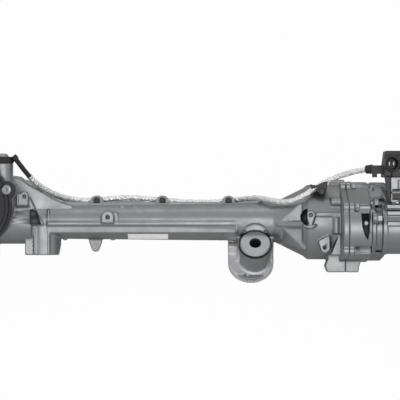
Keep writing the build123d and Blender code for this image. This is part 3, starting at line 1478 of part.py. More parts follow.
def lead_at(x):
    """Centre and direction of the lead where it passes a place along the rack."""
    _, sleeve = lead_routes()
    path = FilletPolyline(*sleeve, radius=corner_radii(sleeve))
    low, high = 0.0, 1.0
    for _ in range(24):
        middle = (low + high) / 2
        if path.position_at(middle).X < x:
            low = middle
        else:
            high = middle
    return path.position_at(low), path.tangent_at(low)


def lead_band(x, width):
    """Band round the lead at a place along the rack."""
    centre, along = lead_at(x)
    frame = Plane(origin=centre, z_dir=along)
    return ring(frame, 0, SLEEVE_R + SOFT_GAP + BAND_WALL, -width / 2, width / 2)


def ear_clips():
    """Three push-in clips: head on the ear, stem through it and a band round the lead below."""
    clips = Part()
    for x in EAR_XS:
        frame = LEVEL * Pos(x, EAR_AFT, 0)
        centre, _ = lead_at(x)
        aft = centre.Y * AFT[1] + centre.Z * AFT[2] - EAR_AFT
        clip = ring(frame, 0, 4.7, EAR_THICK + FACE_GAP, EAR_THICK + 1.3)
        clip += ring(frame, 0, EAR_HOLE_R - SEAT_FIT, -4, EAR_THICK + 1)
        clip += frame * (Pos(0, aft / 4, -2.2) * Box(6, aft / 2 + 3, 3.6))
        clip += lead_band(x, 8)
        clips += clip
    return clips - lead_space()


def case_saddle():
    """Moulded saddle that carries the lead over the drive case."""
    centre, _ = lead_at(SADDLE_X)
    reach = hypot(centre.Y, centre.Z)
    foot_y = centre.Y / reach
    foot_z = centre.Z / reach
    seat = CASE_R + FACE_GAP
    post = rod(6.0, (SADDLE_X, foot_y * (seat - 2), foot_z * (seat - 2)), (centre.X, centre.Y, centre.Z))
    post -= ring(RACK, 0, seat, SADDLE_X - 20, SADDLE_X + 20)
    return post + lead_band(SADDLE_X, SADDLE_WIDTH) - lead_space()


def lead_plug():
    """Plug of the lead in the side of the connector block, with its latch."""
    end = Vector(*SLEEVE_ROUTE[-1])
    run = end - Vector(*SLEEVE_ROUTE[-2])
    x, y, z = end
    body = rod(6.2, end, end + run.normalized() * 9)
    body += block(x + 5, PLUG_BLOCK_LEFT + 8, y - 8, y + 8, z - 6, z + 6)
    return body + block(x + 7, x + 14, y - 9.5, y - 7, z - 11, z - 3)


def nodes():
    """Every sub-part by its name, in the casting frame."""
    conduit, sleeve = lead_routes()
    return {
        "rack_housing": rack_housing(),
        "belt_housing": belt_housing(),
        "case_bolts": case_bolts(),
        "bushing_shell": bushing_shell(),
        "bushing_rubber": bushing_rubber(),
        "bushing_core": bushing_core(),
        "pinion_shaft": pinion_shaft(),
        "torsion_bar": torsion_bar(),
        "input_shaft": input_shaft(),
        "sensor_magnet": sensor_magnet(),
        "torque_sensor": torque_sensor(),
        "sensor_gasket": sensor_gasket(),
        "sensor_cover": sensor_cover(),
        "cover_screws": cover_screws(),
        "input_seal": input_seal(),
        "lower_bearing": lower_bearing(),
        "upper_bearing": upper_bearing(),
        "bearing_nut": bearing_nut(),
        "yoke": yoke(),
        "yoke_spring": yoke_spring(),
        "yoke_plug": yoke_plug(),
        "rack_bar": rack_bar(),
        "right_rack_bush": right_rack_bush(),
        "end_stop_rings": end_ring(STOP_LEFT, 1) + end_ring(STOP_RIGHT, -1),
        "ball_nut": ball_nut(),
        "nut_bearing": nut_bearing(),
        "bearing_retainer": bearing_retainer(),
        "driven_pulley": driven_pulley(),
        "drive_pulley": drive_pulley(),
        "drive_belt": drive_belt(),
        "motor_housing": motor_housing(),
        "motor_stator": motor_stator(),
        "motor_rotor": motor_rotor(),
        "motor_shaft": motor_shaft(),
        "motor_front_bearing": motor_bearing(16, MOTOR_FACE_X + 2.1, MOTOR_FACE_X + 13),
        "motor_rear_bearing": motor_bearing(14, MOTOR_END - 11.9, MOTOR_END - 4),
        "motor_bolts": motor_bolts(),
        "control_housing": control_housing(),
        "control_board": control_board(),
        "control_cover": control_cover(),
        "connector_block": connector_block(),
        "socket_pins": socket_pins(),
        "left_inner_joint": inner_joint(-1),
        "right_inner_joint": inner_joint(1),
        "left_tie_rod": tie_rod(-1),
        "right_tie_rod": tie_rod(1),
        "left_jam_nut": jam_nut(-1),
        "right_jam_nut": jam_nut(1),
        "left_bellows": bellows(-1),
        "right_bellows": bellows(1),
        "bellows_clamps": housing_clamp(-1) + housing_clamp(1),
        "left_rod_clamp": rod_clamp(-1),
        "right_rod_clamp": rod_clamp(1),
        "lead_conduit": lead_tube(conduit, CONDUIT_R),
        "lead_sleeve": lead_tube(sleeve, SLEEVE_R),
        "outlet_grommet": outlet_grommet(),
        "outlet_cap": outlet_cap(),
        "ear_clips": ear_clips(),
        "case_saddle": case_saddle(),
        "lead_plug": lead_plug(),
    }


def to_vehicle(solid):
    """Turns a sub-part from the casting frame to its attitude in the vehicle."""
    return Pos(-BUSH_HOME.X, -BUSH_HOME.Y, -BUSH_HOME.Z) * (INSTALLED * solid)


def main():
    os.makedirs("parts", exist_ok=True)
    conduit, sleeve = lead_routes()
    print_lead("conduit", conduit, CONDUIT_R)
    print_lead("sleeve", sleeve, SLEEVE_R)
    for name, solid in nodes().items():
        export_step(to_vehicle(solid), os.path.join("parts", name + ".step"))


if __name__ == "__main__":
    main()
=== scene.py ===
"""Looks of the steering rack: castings, foil-sleeved lead, plastics, rubber and machined parts.

Sizes are millimetres in the casting frame, where X runs along the rack, Z is up in the front view and
Y points away from the viewer. `CASTING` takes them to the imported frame, in metres.
"""

import json
import logging
import math
import random
from dataclasses import dataclass
from enum import Enum

import bmesh
import bpy
from mathutils import Matrix, Vector


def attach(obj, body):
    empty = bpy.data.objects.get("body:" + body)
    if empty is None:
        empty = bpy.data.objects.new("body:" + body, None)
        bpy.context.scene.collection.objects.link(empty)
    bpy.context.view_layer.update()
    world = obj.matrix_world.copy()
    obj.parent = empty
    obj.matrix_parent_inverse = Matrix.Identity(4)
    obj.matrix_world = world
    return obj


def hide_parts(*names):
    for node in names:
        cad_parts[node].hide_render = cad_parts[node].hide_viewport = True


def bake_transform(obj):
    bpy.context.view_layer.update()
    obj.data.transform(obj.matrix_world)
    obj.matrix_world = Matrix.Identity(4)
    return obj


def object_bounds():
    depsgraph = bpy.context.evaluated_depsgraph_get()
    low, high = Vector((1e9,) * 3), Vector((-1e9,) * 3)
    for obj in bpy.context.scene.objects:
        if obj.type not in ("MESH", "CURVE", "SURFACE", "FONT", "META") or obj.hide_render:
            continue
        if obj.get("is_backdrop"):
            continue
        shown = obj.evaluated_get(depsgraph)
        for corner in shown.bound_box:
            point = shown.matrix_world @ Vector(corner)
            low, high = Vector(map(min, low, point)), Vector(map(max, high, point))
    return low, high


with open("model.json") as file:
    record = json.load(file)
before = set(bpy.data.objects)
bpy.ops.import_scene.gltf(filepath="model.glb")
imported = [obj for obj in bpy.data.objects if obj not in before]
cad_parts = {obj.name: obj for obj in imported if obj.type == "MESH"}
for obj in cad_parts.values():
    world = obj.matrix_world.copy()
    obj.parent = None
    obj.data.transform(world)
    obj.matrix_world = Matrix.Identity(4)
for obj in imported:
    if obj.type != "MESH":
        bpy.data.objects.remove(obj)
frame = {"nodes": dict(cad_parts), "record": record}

log = logging.getLogger("steering_rack")

MM = 0.001
MOUNT_TILT = math.radians(53.0)
MOUNT_X = 79.3
MOUNT_BACK = 42.2
MOUNT_SEAT = Vector((MOUNT_X, -MOUNT_BACK, -47.4))
CASTING = Matrix.Scale(MM, 4) @ Matrix.Translation(-MOUNT_SEAT) @ Matrix.Rotation(-MOUNT_TILT, 4, "X")

Point = tuple[float, float, float]
Outline = list[tuple[float, float]]

# Places and directions in the casting frame.
ORIGIN = (0, 0, 0)
RACK_AXIS = (1, 0, 0)
AWAY = (0, 1, 0)
TOWARDS = (0, -1, 0)
UP = (0, 0, 1)
PINION_LEAN = math.radians(15.0)
PINION_AXIS = (-math.sin(PINION_LEAN), -math.cos(PINION_LEAN), 0.0)
BUSH_UP = (0.0, -math.sin(MOUNT_TILT), math.cos(MOUNT_TILT))
BUSH_RISE = 6.6
BUSH_AT = (MOUNT_X, -MOUNT_BACK * math.cos(MOUNT_TILT) + BUSH_RISE * BUSH_UP[1],
           -MOUNT_BACK * math.sin(MOUNT_TILT) + BUSH_RISE * BUSH_UP[2])
MOTOR_AT = (-72, -9)


def linear(code: str) -> tuple[float, float, float, float]:
    """Turns an sRGB hex colour into the linear colour that a shader takes.

    Args:
        code: Six hex digits after a hash.

    Returns:
        Linear red, green, blue and an alpha of 1.
    """
    parts = [int(code[i:i + 2], 16) / 255 for i in (1, 3, 5)]
    return (*[c / 12.92 if c <= 0.04045 else ((c + 0.055) / 1.055) ** 2.4 for c in parts], 1.0)


def add_node(tree: bpy.types.NodeTree, kind: str, inputs: dict | None = None, **settings) -> bpy.types.Node:
    """Adds a node with its settings, constants and links.

    Args:
        tree: The tree that the node joins.
        kind: Blender's name of the node.
        inputs: Values by input name or number; a socket is linked and anything else is set.
        **settings: Attributes of the node.

    Returns:
        The new node.
    """
    node = tree.nodes.new(kind)
    for name, value in settings.items():
        setattr(node, name, value)
    for name, value in (inputs or {}).items():
        if isinstance(value, bpy.types.NodeSocket):
            tree.links.new(value, node.inputs[name])
        else:
            node.inputs[name].default_value = value
    return node


class Surface(Enum):
    """How a surface was made, which is what breaks up its light."""

    CAST = "shot-blasted casting skin"
    MACHINED = "fine lines of a cutting tool"
    MOULDED = "even grain of a moulded plastic"
    CRINKLED = "folds of thin foil"
    POLISHED = "smooth drawn or ground metal"


@dataclass(frozen=True)
class Finish:
    """One material with the way its surface was made; a few finishes are painted shade or painted light on a
    real material.

    Attributes:
        name: Material name: its real substance and process, and for a few finishes the painted light or shade
            they carry.
        slot: Slot of the part's record that the finish belongs to.
        colour: Main sRGB colour.
        shade: Second sRGB colour, in soft patches.
        metallic: 1 for bare metal and 0 for anything else.
        roughness: Middle of the roughness range.
        spread: Half of the roughness range.
        surface: How the surface was made.
        grain: Size of the fine grain in millimetres.
        depth: Height of the grain in millimetres.
        patch: Size of the colour patches in millimetres.
        across: Stretch of the grain along X, Y and Z.
        ior: Index of refraction of a dielectric, or None to keep the default.
        coat: Weight of a clear coat.
    """

    name: str
    slot: str
    colour: str
    shade: str
    metallic: float
    roughness: float
    spread: float
    surface: Surface
    grain: float
    depth: float
    patch: float = 18.0
    across: Point = (1.0, 1.0, 1.0)
    ior: float | None = None
    coat: float = 0.0

    def material(self) -> bpy.types.Material:
        """Returns the finish's node material, made once."""
        made = bpy.data.materials.get(self.name)
        return made if made else self._build()

    def _build(self) -> bpy.types.Material:
        """Builds the node tree: patches drive colour and roughness, grain drives the bump.

        Returns:
            The new material.
        """
        material = bpy.data.materials.new(self.name)
        material.use_nodes = True
        tree = material.node_tree
        tree.nodes.clear()
        place = add_node(tree, "ShaderNodeTexCoord")
        patches = add_node(tree, "ShaderNodeTexNoise", {
            "Vector": place.outputs["Object"], "Scale": 1 / (self.patch * MM), "Detail": 4.0,
            "Roughness": 0.6})
        colour = add_node(tree, "ShaderNodeMix", {0: patches.outputs["Fac"], 6: linear(self.colour),
                                                  7: linear(self.shade)}, data_type="RGBA")
        rough = add_node(tree, "ShaderNodeMapRange", {
            "Value": patches.outputs["Fac"], "From Min": 0.3, "From Max": 0.7,
            "To Min": self.roughness - self.spread, "To Max": self.roughness + self.spread})
        height, drop = self._grain(tree, place.outputs["Object"])
        bump = add_node(tree, "ShaderNodeBump", {"Height": height, "Distance": drop, "Strength": 1.0})
        shader = add_node(tree, "ShaderNodeBsdfPrincipled", {
            "Base Color": colour.outputs[2], "Roughness": rough.outputs["Result"], "Metallic": self.metallic,
            "Normal": bump.outputs["Normal"], "Coat Weight": self.coat})
        if self.ior:
            shader.inputs["IOR"].default_value = self.ior
        add_node(tree, "ShaderNodeOutputMaterial", {"Surface": shader.outputs["BSDF"]})
        return material

    def _grain(self, tree: bpy.types.NodeTree,
               place: bpy.types.NodeSocket) -> tuple[bpy.types.NodeSocket, float]:
        """Adds the nodes of the fine grain.

        Args:
            tree: The material's tree.
            place: Object coordinates.

        Returns:
            The height socket and the bump distance in metres.
        """
        mapped = add_node(tree, "ShaderNodeMapping", {"Vector": place, "Scale": self.across})
        size = 1 / (self.grain * MM)
        if self.surface is Surface.CRINKLED:
            folds = add_node(tree, "ShaderNodeTexVoronoi", {
                "Vector": mapped.outputs["Vector"], "Scale": size, "Randomness": 1.0}, feature="F1")
            return folds.outputs["Distance"], self.depth * MM
        detail = 2.0 if self.surface in (Surface.MACHINED, Surface.POLISHED) else 5.0
        grain = add_node(tree, "ShaderNodeTexNoise", {
            "Vector": mapped.outputs["Vector"], "Scale": size, "Detail": detail})
        return grain.outputs["Fac"], self.depth * MM


# Aluminium as it leaves the die, shot blasted: matt grey with a sand-like grain, drawn twice as coarse.
CAST_ALUMINIUM = Finish("aluminium die cast shot blasted", "cast_aluminium", "#a3a4a5", "#8b8c8d", 1.0,
                        0.42, 0.08, Surface.CAST, 0.9, 0.05, patch=30.0)
# Painted shade for the deep pockets: the same aluminium made dark, standing for the shadow in the half-moon
# and in the pocket beside the motor face.
POCKET_SHADE_CASTING = Finish("aluminium die cast painted pocket shade", "cast_aluminium", "#58585b", "#48484a", 1.0, 0.6, 0.06,
                     Surface.CAST, 0.9, 0.05, patch=12.0)
# Painted shade for the shallow pocket beside the web: the same aluminium made mid-dark, standing for its
# shadow.
RECESS_SHADE_CASTING = Finish("aluminium die cast painted recess shade", "cast_aluminium", "#77777a", "#666669", 1.0,
                      0.66, 0.06, Surface.CAST, 0.9, 0.05, patch=12.0)
# Painted light on the mount's foot: the same aluminium made pale, a painted highlight that brightens the foot
# where the tube above shades it.
FOOT_LIGHT_CASTING = Finish("aluminium die cast painted foot light", "cast_aluminium", "#e6e6e7", "#d6d6d8", 1.0,
                      0.6, 0.05, Surface.CAST, 0.6, 0.03, patch=30.0)
# The same aluminium where a cutter has passed: brighter, with tool lines.
MACHINED_ALUMINIUM = Finish("aluminium milled", "machined_aluminium", "#b4b6b8", "#a8aaac", 1.0, 0.42, 0.05,
                            Surface.MACHINED, 0.5, 0.01, across=(6.0, 1.0, 1.0))
# Hardened and ground steel: mirror-like along the rack, fine lines round it.
GROUND_STEEL = Finish("steel hardened and ground", "bright_steel", "#b4b5b6", "#a2a3a5", 1.0, 0.22, 0.05,
                      Surface.POLISHED, 0.4, 0.004, across=(6.0, 1.0, 1.0))
# Zinc-plated steel of screws and clamps: pale, a little cloudy.
ZINC_PLATED_STEEL = Finish("steel zinc plated", "plated_steel", "#adaeae", "#9b9d9f", 1.0, 0.42, 0.08,
                           Surface.MOULDED, 0.7, 0.01, patch=5.0)
# Deep-drawn steel can of the motor, turned and lacquered: long soft highlights along the can.
MOTOR_CAN_STEEL = Finish("steel deep drawn", "motor_steel", "#9a9b9e", "#8b8d90", 1.0, 0.36, 0.05,
                         Surface.POLISHED, 0.8, 0.006, across=(5.0, 1.0, 1.0))
# Glass-filled nylon: near black, with the dull sheen of a spark-eroded mould.
BLACK_NYLON = Finish("nylon glass filled moulded", "black_plastic", "#1e1d20", "#28272b", 0.0, 0.44, 0.08,
                     Surface.MOULDED, 0.6, 0.03, ior=1.53)
# Chloroprene rubber: black, soft sheen, faint mould bloom.
BLACK_RUBBER = Finish("rubber chloroprene moulded", "rubber", "#141414", "#202020", 0.0, 0.58, 0.08,
                      Surface.MOULDED, 0.8, 0.02, ior=1.52)
# Aluminium foil wrapped round the lead and squeezed: bright facets at every angle.
FOIL_WRAP = Finish("aluminium foil crinkled", "foil_sleeve", "#fbfbfb", "#ebebec", 1.0, 0.46, 0.1,
                   Surface.CRINKLED, 2.4, 0.7, patch=6.0)
# Polyurethane belt: dull black.
BELT_RUBBER = Finish("polyurethane belt cast", "belt_rubber", "#1b1b1c", "#262627", 0.0, 0.5, 0.06,
                     Surface.MOULDED, 0.6, 0.02, ior=1.5)
# Sintered magnet: dark grey and slightly porous.
SINTERED_MAGNET = Finish("magnet sintered", "magnet", "#3b3b3f", "#2e2e31", 1.0, 0.45, 0.08,
                         Surface.CAST, 0.4, 0.02)
# Stacked electrical steel, bluish grey, with the lines of its sheets.
LAMINATED_STEEL = Finish("electrical steel stacked", "lamination_steel", "#6f7278", "#5f6268", 1.0,
                         0.38, 0.06, Surface.MACHINED, 0.7, 0.05, across=(3.0, 0.2, 0.2))
# Glass-epoxy board under green lacquer.
BOARD_LACQUER = Finish("glass epoxy lacquered", "circuit_board", "#1c5138", "#17452f", 0.0, 0.32, 0.05,
                       Surface.MOULDED, 0.5, 0.01, ior=1.52, coat=0.4)
# Acetal bush: waxy off-white.
WHITE_ACETAL = Finish("acetal moulded", "bush_polymer", "#d8d5cb", "#cdcabf", 0.0, 0.38, 0.05,
                      Surface.MOULDED, 0.6, 0.01, ior=1.48)
# Painted shade for the sleeve's bore: charcoal and without shine, standing for the shadow deep inside it.
BORE_SHADE_STEEL = Finish("steel painted bore shade", "machined_aluminium", "#1a1a1b", "#232324", 0.0, 0.7, 0.05,
                          Surface.CAST, 0.4, 0.01)
# Polyester label film: white, satin.
LABEL_FILM = Finish("polyester film matt", "bush_polymer", "#ffffff", "#f8f8f7", 0.0, 0.45, 0.05,
                    Surface.MOULDED, 0.8, 0.004, ior=1.5)

# The finish of each slot of the record; the other finishes belong to places of the pieces made here.
FINISHES = (CAST_ALUMINIUM, MACHINED_ALUMINIUM, GROUND_STEEL, ZINC_PLATED_STEEL, MOTOR_CAN_STEEL,
            BLACK_NYLON, BLACK_RUBBER, FOIL_WRAP, BELT_RUBBER, SINTERED_MAGNET, LAMINATED_STEEL,
            BOARD_LACQUER, WHITE_ACETAL)


def new_piece(name: str, mesh: bpy.types.Mesh, finish: Finish, body: str) -> bpy.types.Object:
    """Puts a mesh in the scene as a piece with its finish, riding on a body.

    Args:
        name: Name of the piece.
        mesh: Its mesh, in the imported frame.
        finish: Its finish.
        body: The body that it moves with.

    Returns:
        The new object.
    """
    piece = bpy.data.objects.new(name, mesh)
    bpy.context.scene.collection.objects.link(piece)
    if not mesh.materials:
        mesh.materials.append(finish.material())
    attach(piece, body)
    log.info("%s: %d faces", name, len(mesh.polygons))
    return piece


def arch(centre: tuple[float, float], radius: float, foot: float) -> Outline:
    """Outline with a half-round top and straight sides down to a foot.

    Args:
        centre: Middle of the half circle, as X and Z.
        radius: Its radius.
        foot: Height of the straight sides' lower ends.

    Returns:
        The outline's points.
    """
    x, z = centre
    turns = [math.pi * i / 12 for i in range(13)]
    bow = [(x + radius * math.cos(t), z + radius * math.sin(t)) for t in turns]
    return [(x + radius, foot), *bow, (x - radius, foot)]


def half_moon(centre: tuple[float, float], radius: float, chord: float) -> Outline:
    """Outline of the part of a circle that lies left of a chord.

    Args:
        centre: Middle of the circle, as X and Z.
        radius: Its radius.
        chord: X of the chord.

    Returns:
        The outline's points.
    """
    x, z = centre
    reach = math.acos((x - chord) / radius)
    turns = [-reach + 2 * reach * i / 16 for i in range(17)]
    return [(x - radius * math.cos(t), z + radius * math.sin(t)) for t in turns]


def ellipse(centre: tuple[float, float], width: float, height: float, steps: int = 48) -> Outline:
    """Outline of an ellipse.

    Args:
        centre: Its middle, as X and Z.
        width: Half its width.
        height: Half its height.
        steps: Number of its points.

    Returns:
        The outline's points.
    """
    x, z = centre
    turns = [math.tau * i / steps for i in range(steps)]
    return [(x + width * math.cos(t), z + height * math.sin(t)) for t in turns]


@dataclass(frozen=True)
class Relief:
    """A front-view outline between two depths: a raised detail, a cut, or a place with its own finish.

    Attributes:
        outline: Corner points as X and Z.
        near: Y of its front.
        far: Y of its back.
    """

    outline: Outline
    near: float
    far: float

    def holds(self, spot: Vector) -> bool:
        """Tells whether a point lies inside.

        Args:
            spot: The point, in the casting frame.

        Returns:
            True when the point lies inside.
        """
        x, y, z = spot
        odd = False
        for (x0, z0), (x1, z1) in zip(self.outline, self.outline[1:] + self.outline[:1]):
            if (z0 > z) != (z1 > z) and x < x0 + (x1 - x0) * (z - z0) / (z1 - z0):
                odd = not odd
        return odd and self.near < y < self.far


class Shaper:
    """Collects closed solids in the casting frame and turns them into one mesh."""

    def __init__(self) -> None:
        """Starts an empty collection."""
        self.mesh = bmesh.new()

    def prism(self, *reliefs: Relief) -> None:
        """Adds front-view outlines, each pushed from its front to its back.

        Args:
            *reliefs: The outlines with their depths.
        """
        for relief in reliefs:
            front = [self.mesh.verts.new((x, relief.near, z)) for x, z in relief.outline]
            back = [self.mesh.verts.new((x, relief.far, z)) for x, z in relief.outline]
            self._close(front, back)

    def turned(self, profile: Outline, start: Point, axis: Point, steps: int = 48) -> None:
        """Adds a solid turned about an axis.

        Args:
            profile: Points as radius and height, from the first end to the last, both on the axis.
            start: Point of the axis at height 0.
            axis: Direction of growing height.
            steps: Number of flats round the solid.
        """
        rings = []
        for radius, height in profile:
            on_axis = radius < 1e-6
            rings.append(self._ring(radius, height, start, axis, 1 if on_axis else steps))
        for low, high in zip(rings, rings[1:]):
            for i in range(steps):
                j = (i + 1) % steps
                corners = [low[i % len(low)], low[j % len(low)], high[j % len(high)], high[i % len(high)]]
                face = list(dict.fromkeys(corners))
                if len(face) > 2:
                    self.mesh.faces.new(face)

    def loop(self, outline: Outline, start: Point, axis: Point, steps: int) -> None:
        """Adds a ring whose closed cross-section is turned about an axis.

        Args:
            outline: Cross-section as radius and height, round once.
            start: Point of the axis at height 0.
            axis: Direction of growing height.
            steps: Number of flats round the ring.
        """
        rings = [self._ring(radius, height, start, axis, steps) for radius, height in outline]
        for low, high in zip(rings, rings[1:] + rings[:1]):
            for i in range(steps):
                j = (i + 1) % steps
                self.mesh.faces.new((low[i], low[j], high[j], high[i]))

    def _ring(self, radius: float, height: float, start: Point, axis: Point, steps: int) -> list:
        """Makes the corners of one ring of a turned solid.

        Args:
            radius: The ring's radius.
            height: Its height along the axis.
            start: Point of the axis at height 0.
            axis: Direction of growing height.
            steps: Number of corners.

        Returns:
            The new vertices.
        """
        turn = Vector(UP).rotation_difference(Vector(axis)).to_matrix().to_4x4()
        place = Matrix.Translation(start) @ turn
        turns = [math.tau * i / steps for i in range(steps)]
        return [self.mesh.verts.new(place @ Vector((radius * math.cos(t), radius * math.sin(t), height)))
                for t in turns]

    def slab(self, front: list[Point], back: float) -> None:
        """Adds a solid behind a flat face.

        Args:
            front: Corners of the face.
            back: Y of the solid's rear.
        """
        near = [self.mesh.verts.new(corner) for corner in front]
        far = [self.mesh.verts.new((x, back, z)) for x, _, z in front]
        self.mesh.faces.new(near)
        self.mesh.faces.new(list(reversed(far)))
        for i in range(len(near)):
            j = (i + 1) % len(near)
            self.mesh.faces.new((near[i], far[i], far[j], near[j]))

    def sheet(self, grid: list) -> None:
        """Adds a closed sheet from a grid of pairs of points, its outer and its inner side.

        Args:
            grid: Columns of pairs of vertices.
        """
        for side in (0, 1):
            for left, right in zip(grid, grid[1:]):
                for k in range(len(left) - 1):
                    corners = (left[k], left[k + 1], right[k + 1], right[k])
                    self.mesh.faces.new([pair[side] for pair in corners])
        there = [column[0] for column in grid] + grid[-1][1:]
        back = [column[-1] for column in grid[-2::-1]] + grid[0][-2:0:-1]
        rim = there + back
        for (a, b), (c, d) in zip(rim, rim[1:] + rim[:1]):
            self.mesh.faces.new((a, c, d, b))

    def rod(self, radius: float, start: Point, end: Point, steps: int = 32) -> None:
        """Adds a plain round bar between two points, for a cutter or a boss.

        Args:
            radius: Radius of the bar.
            start: Middle of its first end.
            end: Middle of its last end.
            steps: Number of flats round the bar.
        """
        along = Vector(end) - Vector(start)
        profile = [(0, 0), (radius, 0), (radius, along.length), (0, along.length)]
        self.turned(profile, start, tuple(along), steps)

    def _close(self, front: list, back: list) -> None:
        """Faces a prism's two ends and its sides.

        Args:
            front: Vertices of the front.
            back: Vertices of the back, in the same order.
        """
        self.mesh.faces.new(front)
        self.mesh.faces.new(list(reversed(back)))
        for i in range(len(front)):
            j = (i + 1) % len(front)
            self.mesh.faces.new((front[j], front[i], back[i], back[j]))

    def add_node_mesh(self, node: str) -> None:
        """Adds a merged copy of a CAD node's mesh.

        Args:
            node: Name of the node.
        """
        part = bmesh.new()
        part.from_mesh(frame["nodes"][node].data)
        bmesh.ops.remove_doubles(part, verts=part.verts, dist=1e-6)
        bmesh.ops.transform(part, matrix=CASTING.inverted(), verts=part.verts)
        held = bpy.data.meshes.new("held")
        part.to_mesh(held)
        part.free()
        self.mesh.from_mesh(held)
        bpy.data.meshes.remove(held)

    def finish(self, name: str, outwards: bool = True, place: Matrix = CASTING) -> bpy.types.Mesh:
        """Returns the collected solids as one mesh in metres.

        Args:
            name: Name of the mesh.
            outwards: Whether the normals are worked out again.
            place: Where the collected solids go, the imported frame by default.

        Returns:
            The mesh.
        """
        if outwards:
            bmesh.ops.recalc_face_normals(self.mesh, faces=self.mesh.faces)
        bmesh.ops.transform(self.mesh, matrix=place, verts=self.mesh.verts)
        mesh = bpy.data.meshes.new(name)
        self.mesh.to_mesh(mesh)
        self.mesh.free()
        return mesh


def settled(mesh: bpy.types.Mesh, modifiers: list[tuple[str, dict]]) -> bpy.types.Mesh:
    """Runs modifiers on a mesh and returns the result as a plain mesh.

    Args:
        mesh: The mesh to start from.
        modifiers: Kind and settings of each modifier, in order.

    Returns:
        The new mesh.
    """
    holder = bpy.data.objects.new("holder", mesh)
    bpy.context.scene.collection.objects.link(holder)
    for kind, settings in modifiers:
        modifier = holder.modifiers.new(kind.lower(), kind)
        for name, value in settings.items():
            setattr(modifier, name, value)
    result = bpy.data.meshes.new_from_object(holder.evaluated_get(bpy.context.evaluated_depsgraph_get()))
    bpy.data.objects.remove(holder)
    return result


def temporary(mesh: bpy.types.Mesh) -> bpy.types.Object:
    """Puts a mesh in the scene for a while, hidden from the render.

    Args:
        mesh: The mesh of a cutter or of a piece that is copied.

    Returns:
        The hidden object.
    """
    cutter = bpy.data.objects.new("cutter", mesh)
    bpy.context.scene.collection.objects.link(cutter)
    cutter.hide_render = True
    return cutter


@dataclass
class FormedBody:
    """A cast or moulded piece: the CAD solid with its raised details, its edges rounded, then its sharp cuts.

    Attributes:
        node: CAD node that the piece stands for.
        name: Name of the piece.
        coat: Its finish.
        grid: Size in millimetres of the cells that round the edges.
        rounds: How often the rounded mesh is smoothed.
        fresh: Whether the piece has only its details and not the CAD solid.
        budget: Most triangles that the piece may have.
    """

    node: str
    name: str
    coat: Finish = CAST_ALUMINIUM
    grid: float = 1.2
    rounds: int = 3
    fresh: bool = False
    budget: int = 190000

    def details(self, shape: Shaper) -> None:
        """Adds raised details in the casting frame."""

    def cuts(self, shape: Shaper) -> None:
        """Adds the solids that are cut away after the edges are rounded."""

    def zones(self) -> list[tuple[Finish, Relief]]:
        """Gives the places with a finish of their own; the castings use them for painted shade and painted
        light.
        """
        return []

    def dress(self, mesh: bpy.types.Mesh) -> None:
        """Gives the faces their finishes.

        Args:
            mesh: The finished mesh.
        """
        zones = self.zones()
        for finish in (self.coat, *(zone[0] for zone in zones)):
            mesh.materials.append(finish.material())
        back = CASTING.inverted()
        for polygon in mesh.polygons if zones else []:
            spot = back @ polygon.center
            polygon.material_index = next((i for i, (_, zone) in enumerate(zones, 1) if zone.holds(spot)), 0)

    def rounded(self) -> bpy.types.Mesh:
        """Joins the CAD solid and the raised details and rounds their edges.

        Returns:
            The rounded mesh.
        """
        shape = Shaper()
        if not self.fresh:
            shape.add_node_mesh(self.node)
        extra = Shaper()
        self.details(extra)
        raw = shape.finish(self.name + "_raw", outwards=False)
        joined = bmesh.new()
        joined.from_mesh(raw)
        joined.from_mesh(extra.finish(self.name + "_details"))
        joined.to_mesh(raw)
        joined.free()
        grid = self.grid * 1.0 * MM
        return settled(raw, [("REMESH", {"mode": "VOXEL", "voxel_size": grid, "adaptivity": 0.0}),
                             ("SMOOTH", {"factor": 0.5, "iterations": self.rounds})])

    def build(self) -> bpy.types.Object:
        """Makes the piece and hides the CAD node that it stands for.

        Returns:
            The new object.
        """
        mesh = self.rounded()
        cutter = Shaper()
        self.cuts(cutter)
        tool = temporary(cutter.finish(self.name + "_cuts"))
        if len(tool.data.polygons):
            cut = {"object": tool, "operation": "DIFFERENCE", "solver": "MANIFOLD"}
            mesh = settled(mesh, [("BOOLEAN", cut)])
        bpy.data.objects.remove(tool)
        triangles = sum(len(p.vertices) - 2 for p in mesh.polygons)
        if triangles > self.budget:
            mesh = settled(mesh, [("DECIMATE", {"ratio": self.budget / triangles})])
        mesh.name = self.name
        mesh.materials.clear()
        self.dress(mesh)
        for polygon in mesh.polygons:
            polygon.use_smooth = True
        piece = new_piece(self.name, mesh, self.coat, "housing")
        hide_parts(self.node)
        return piece


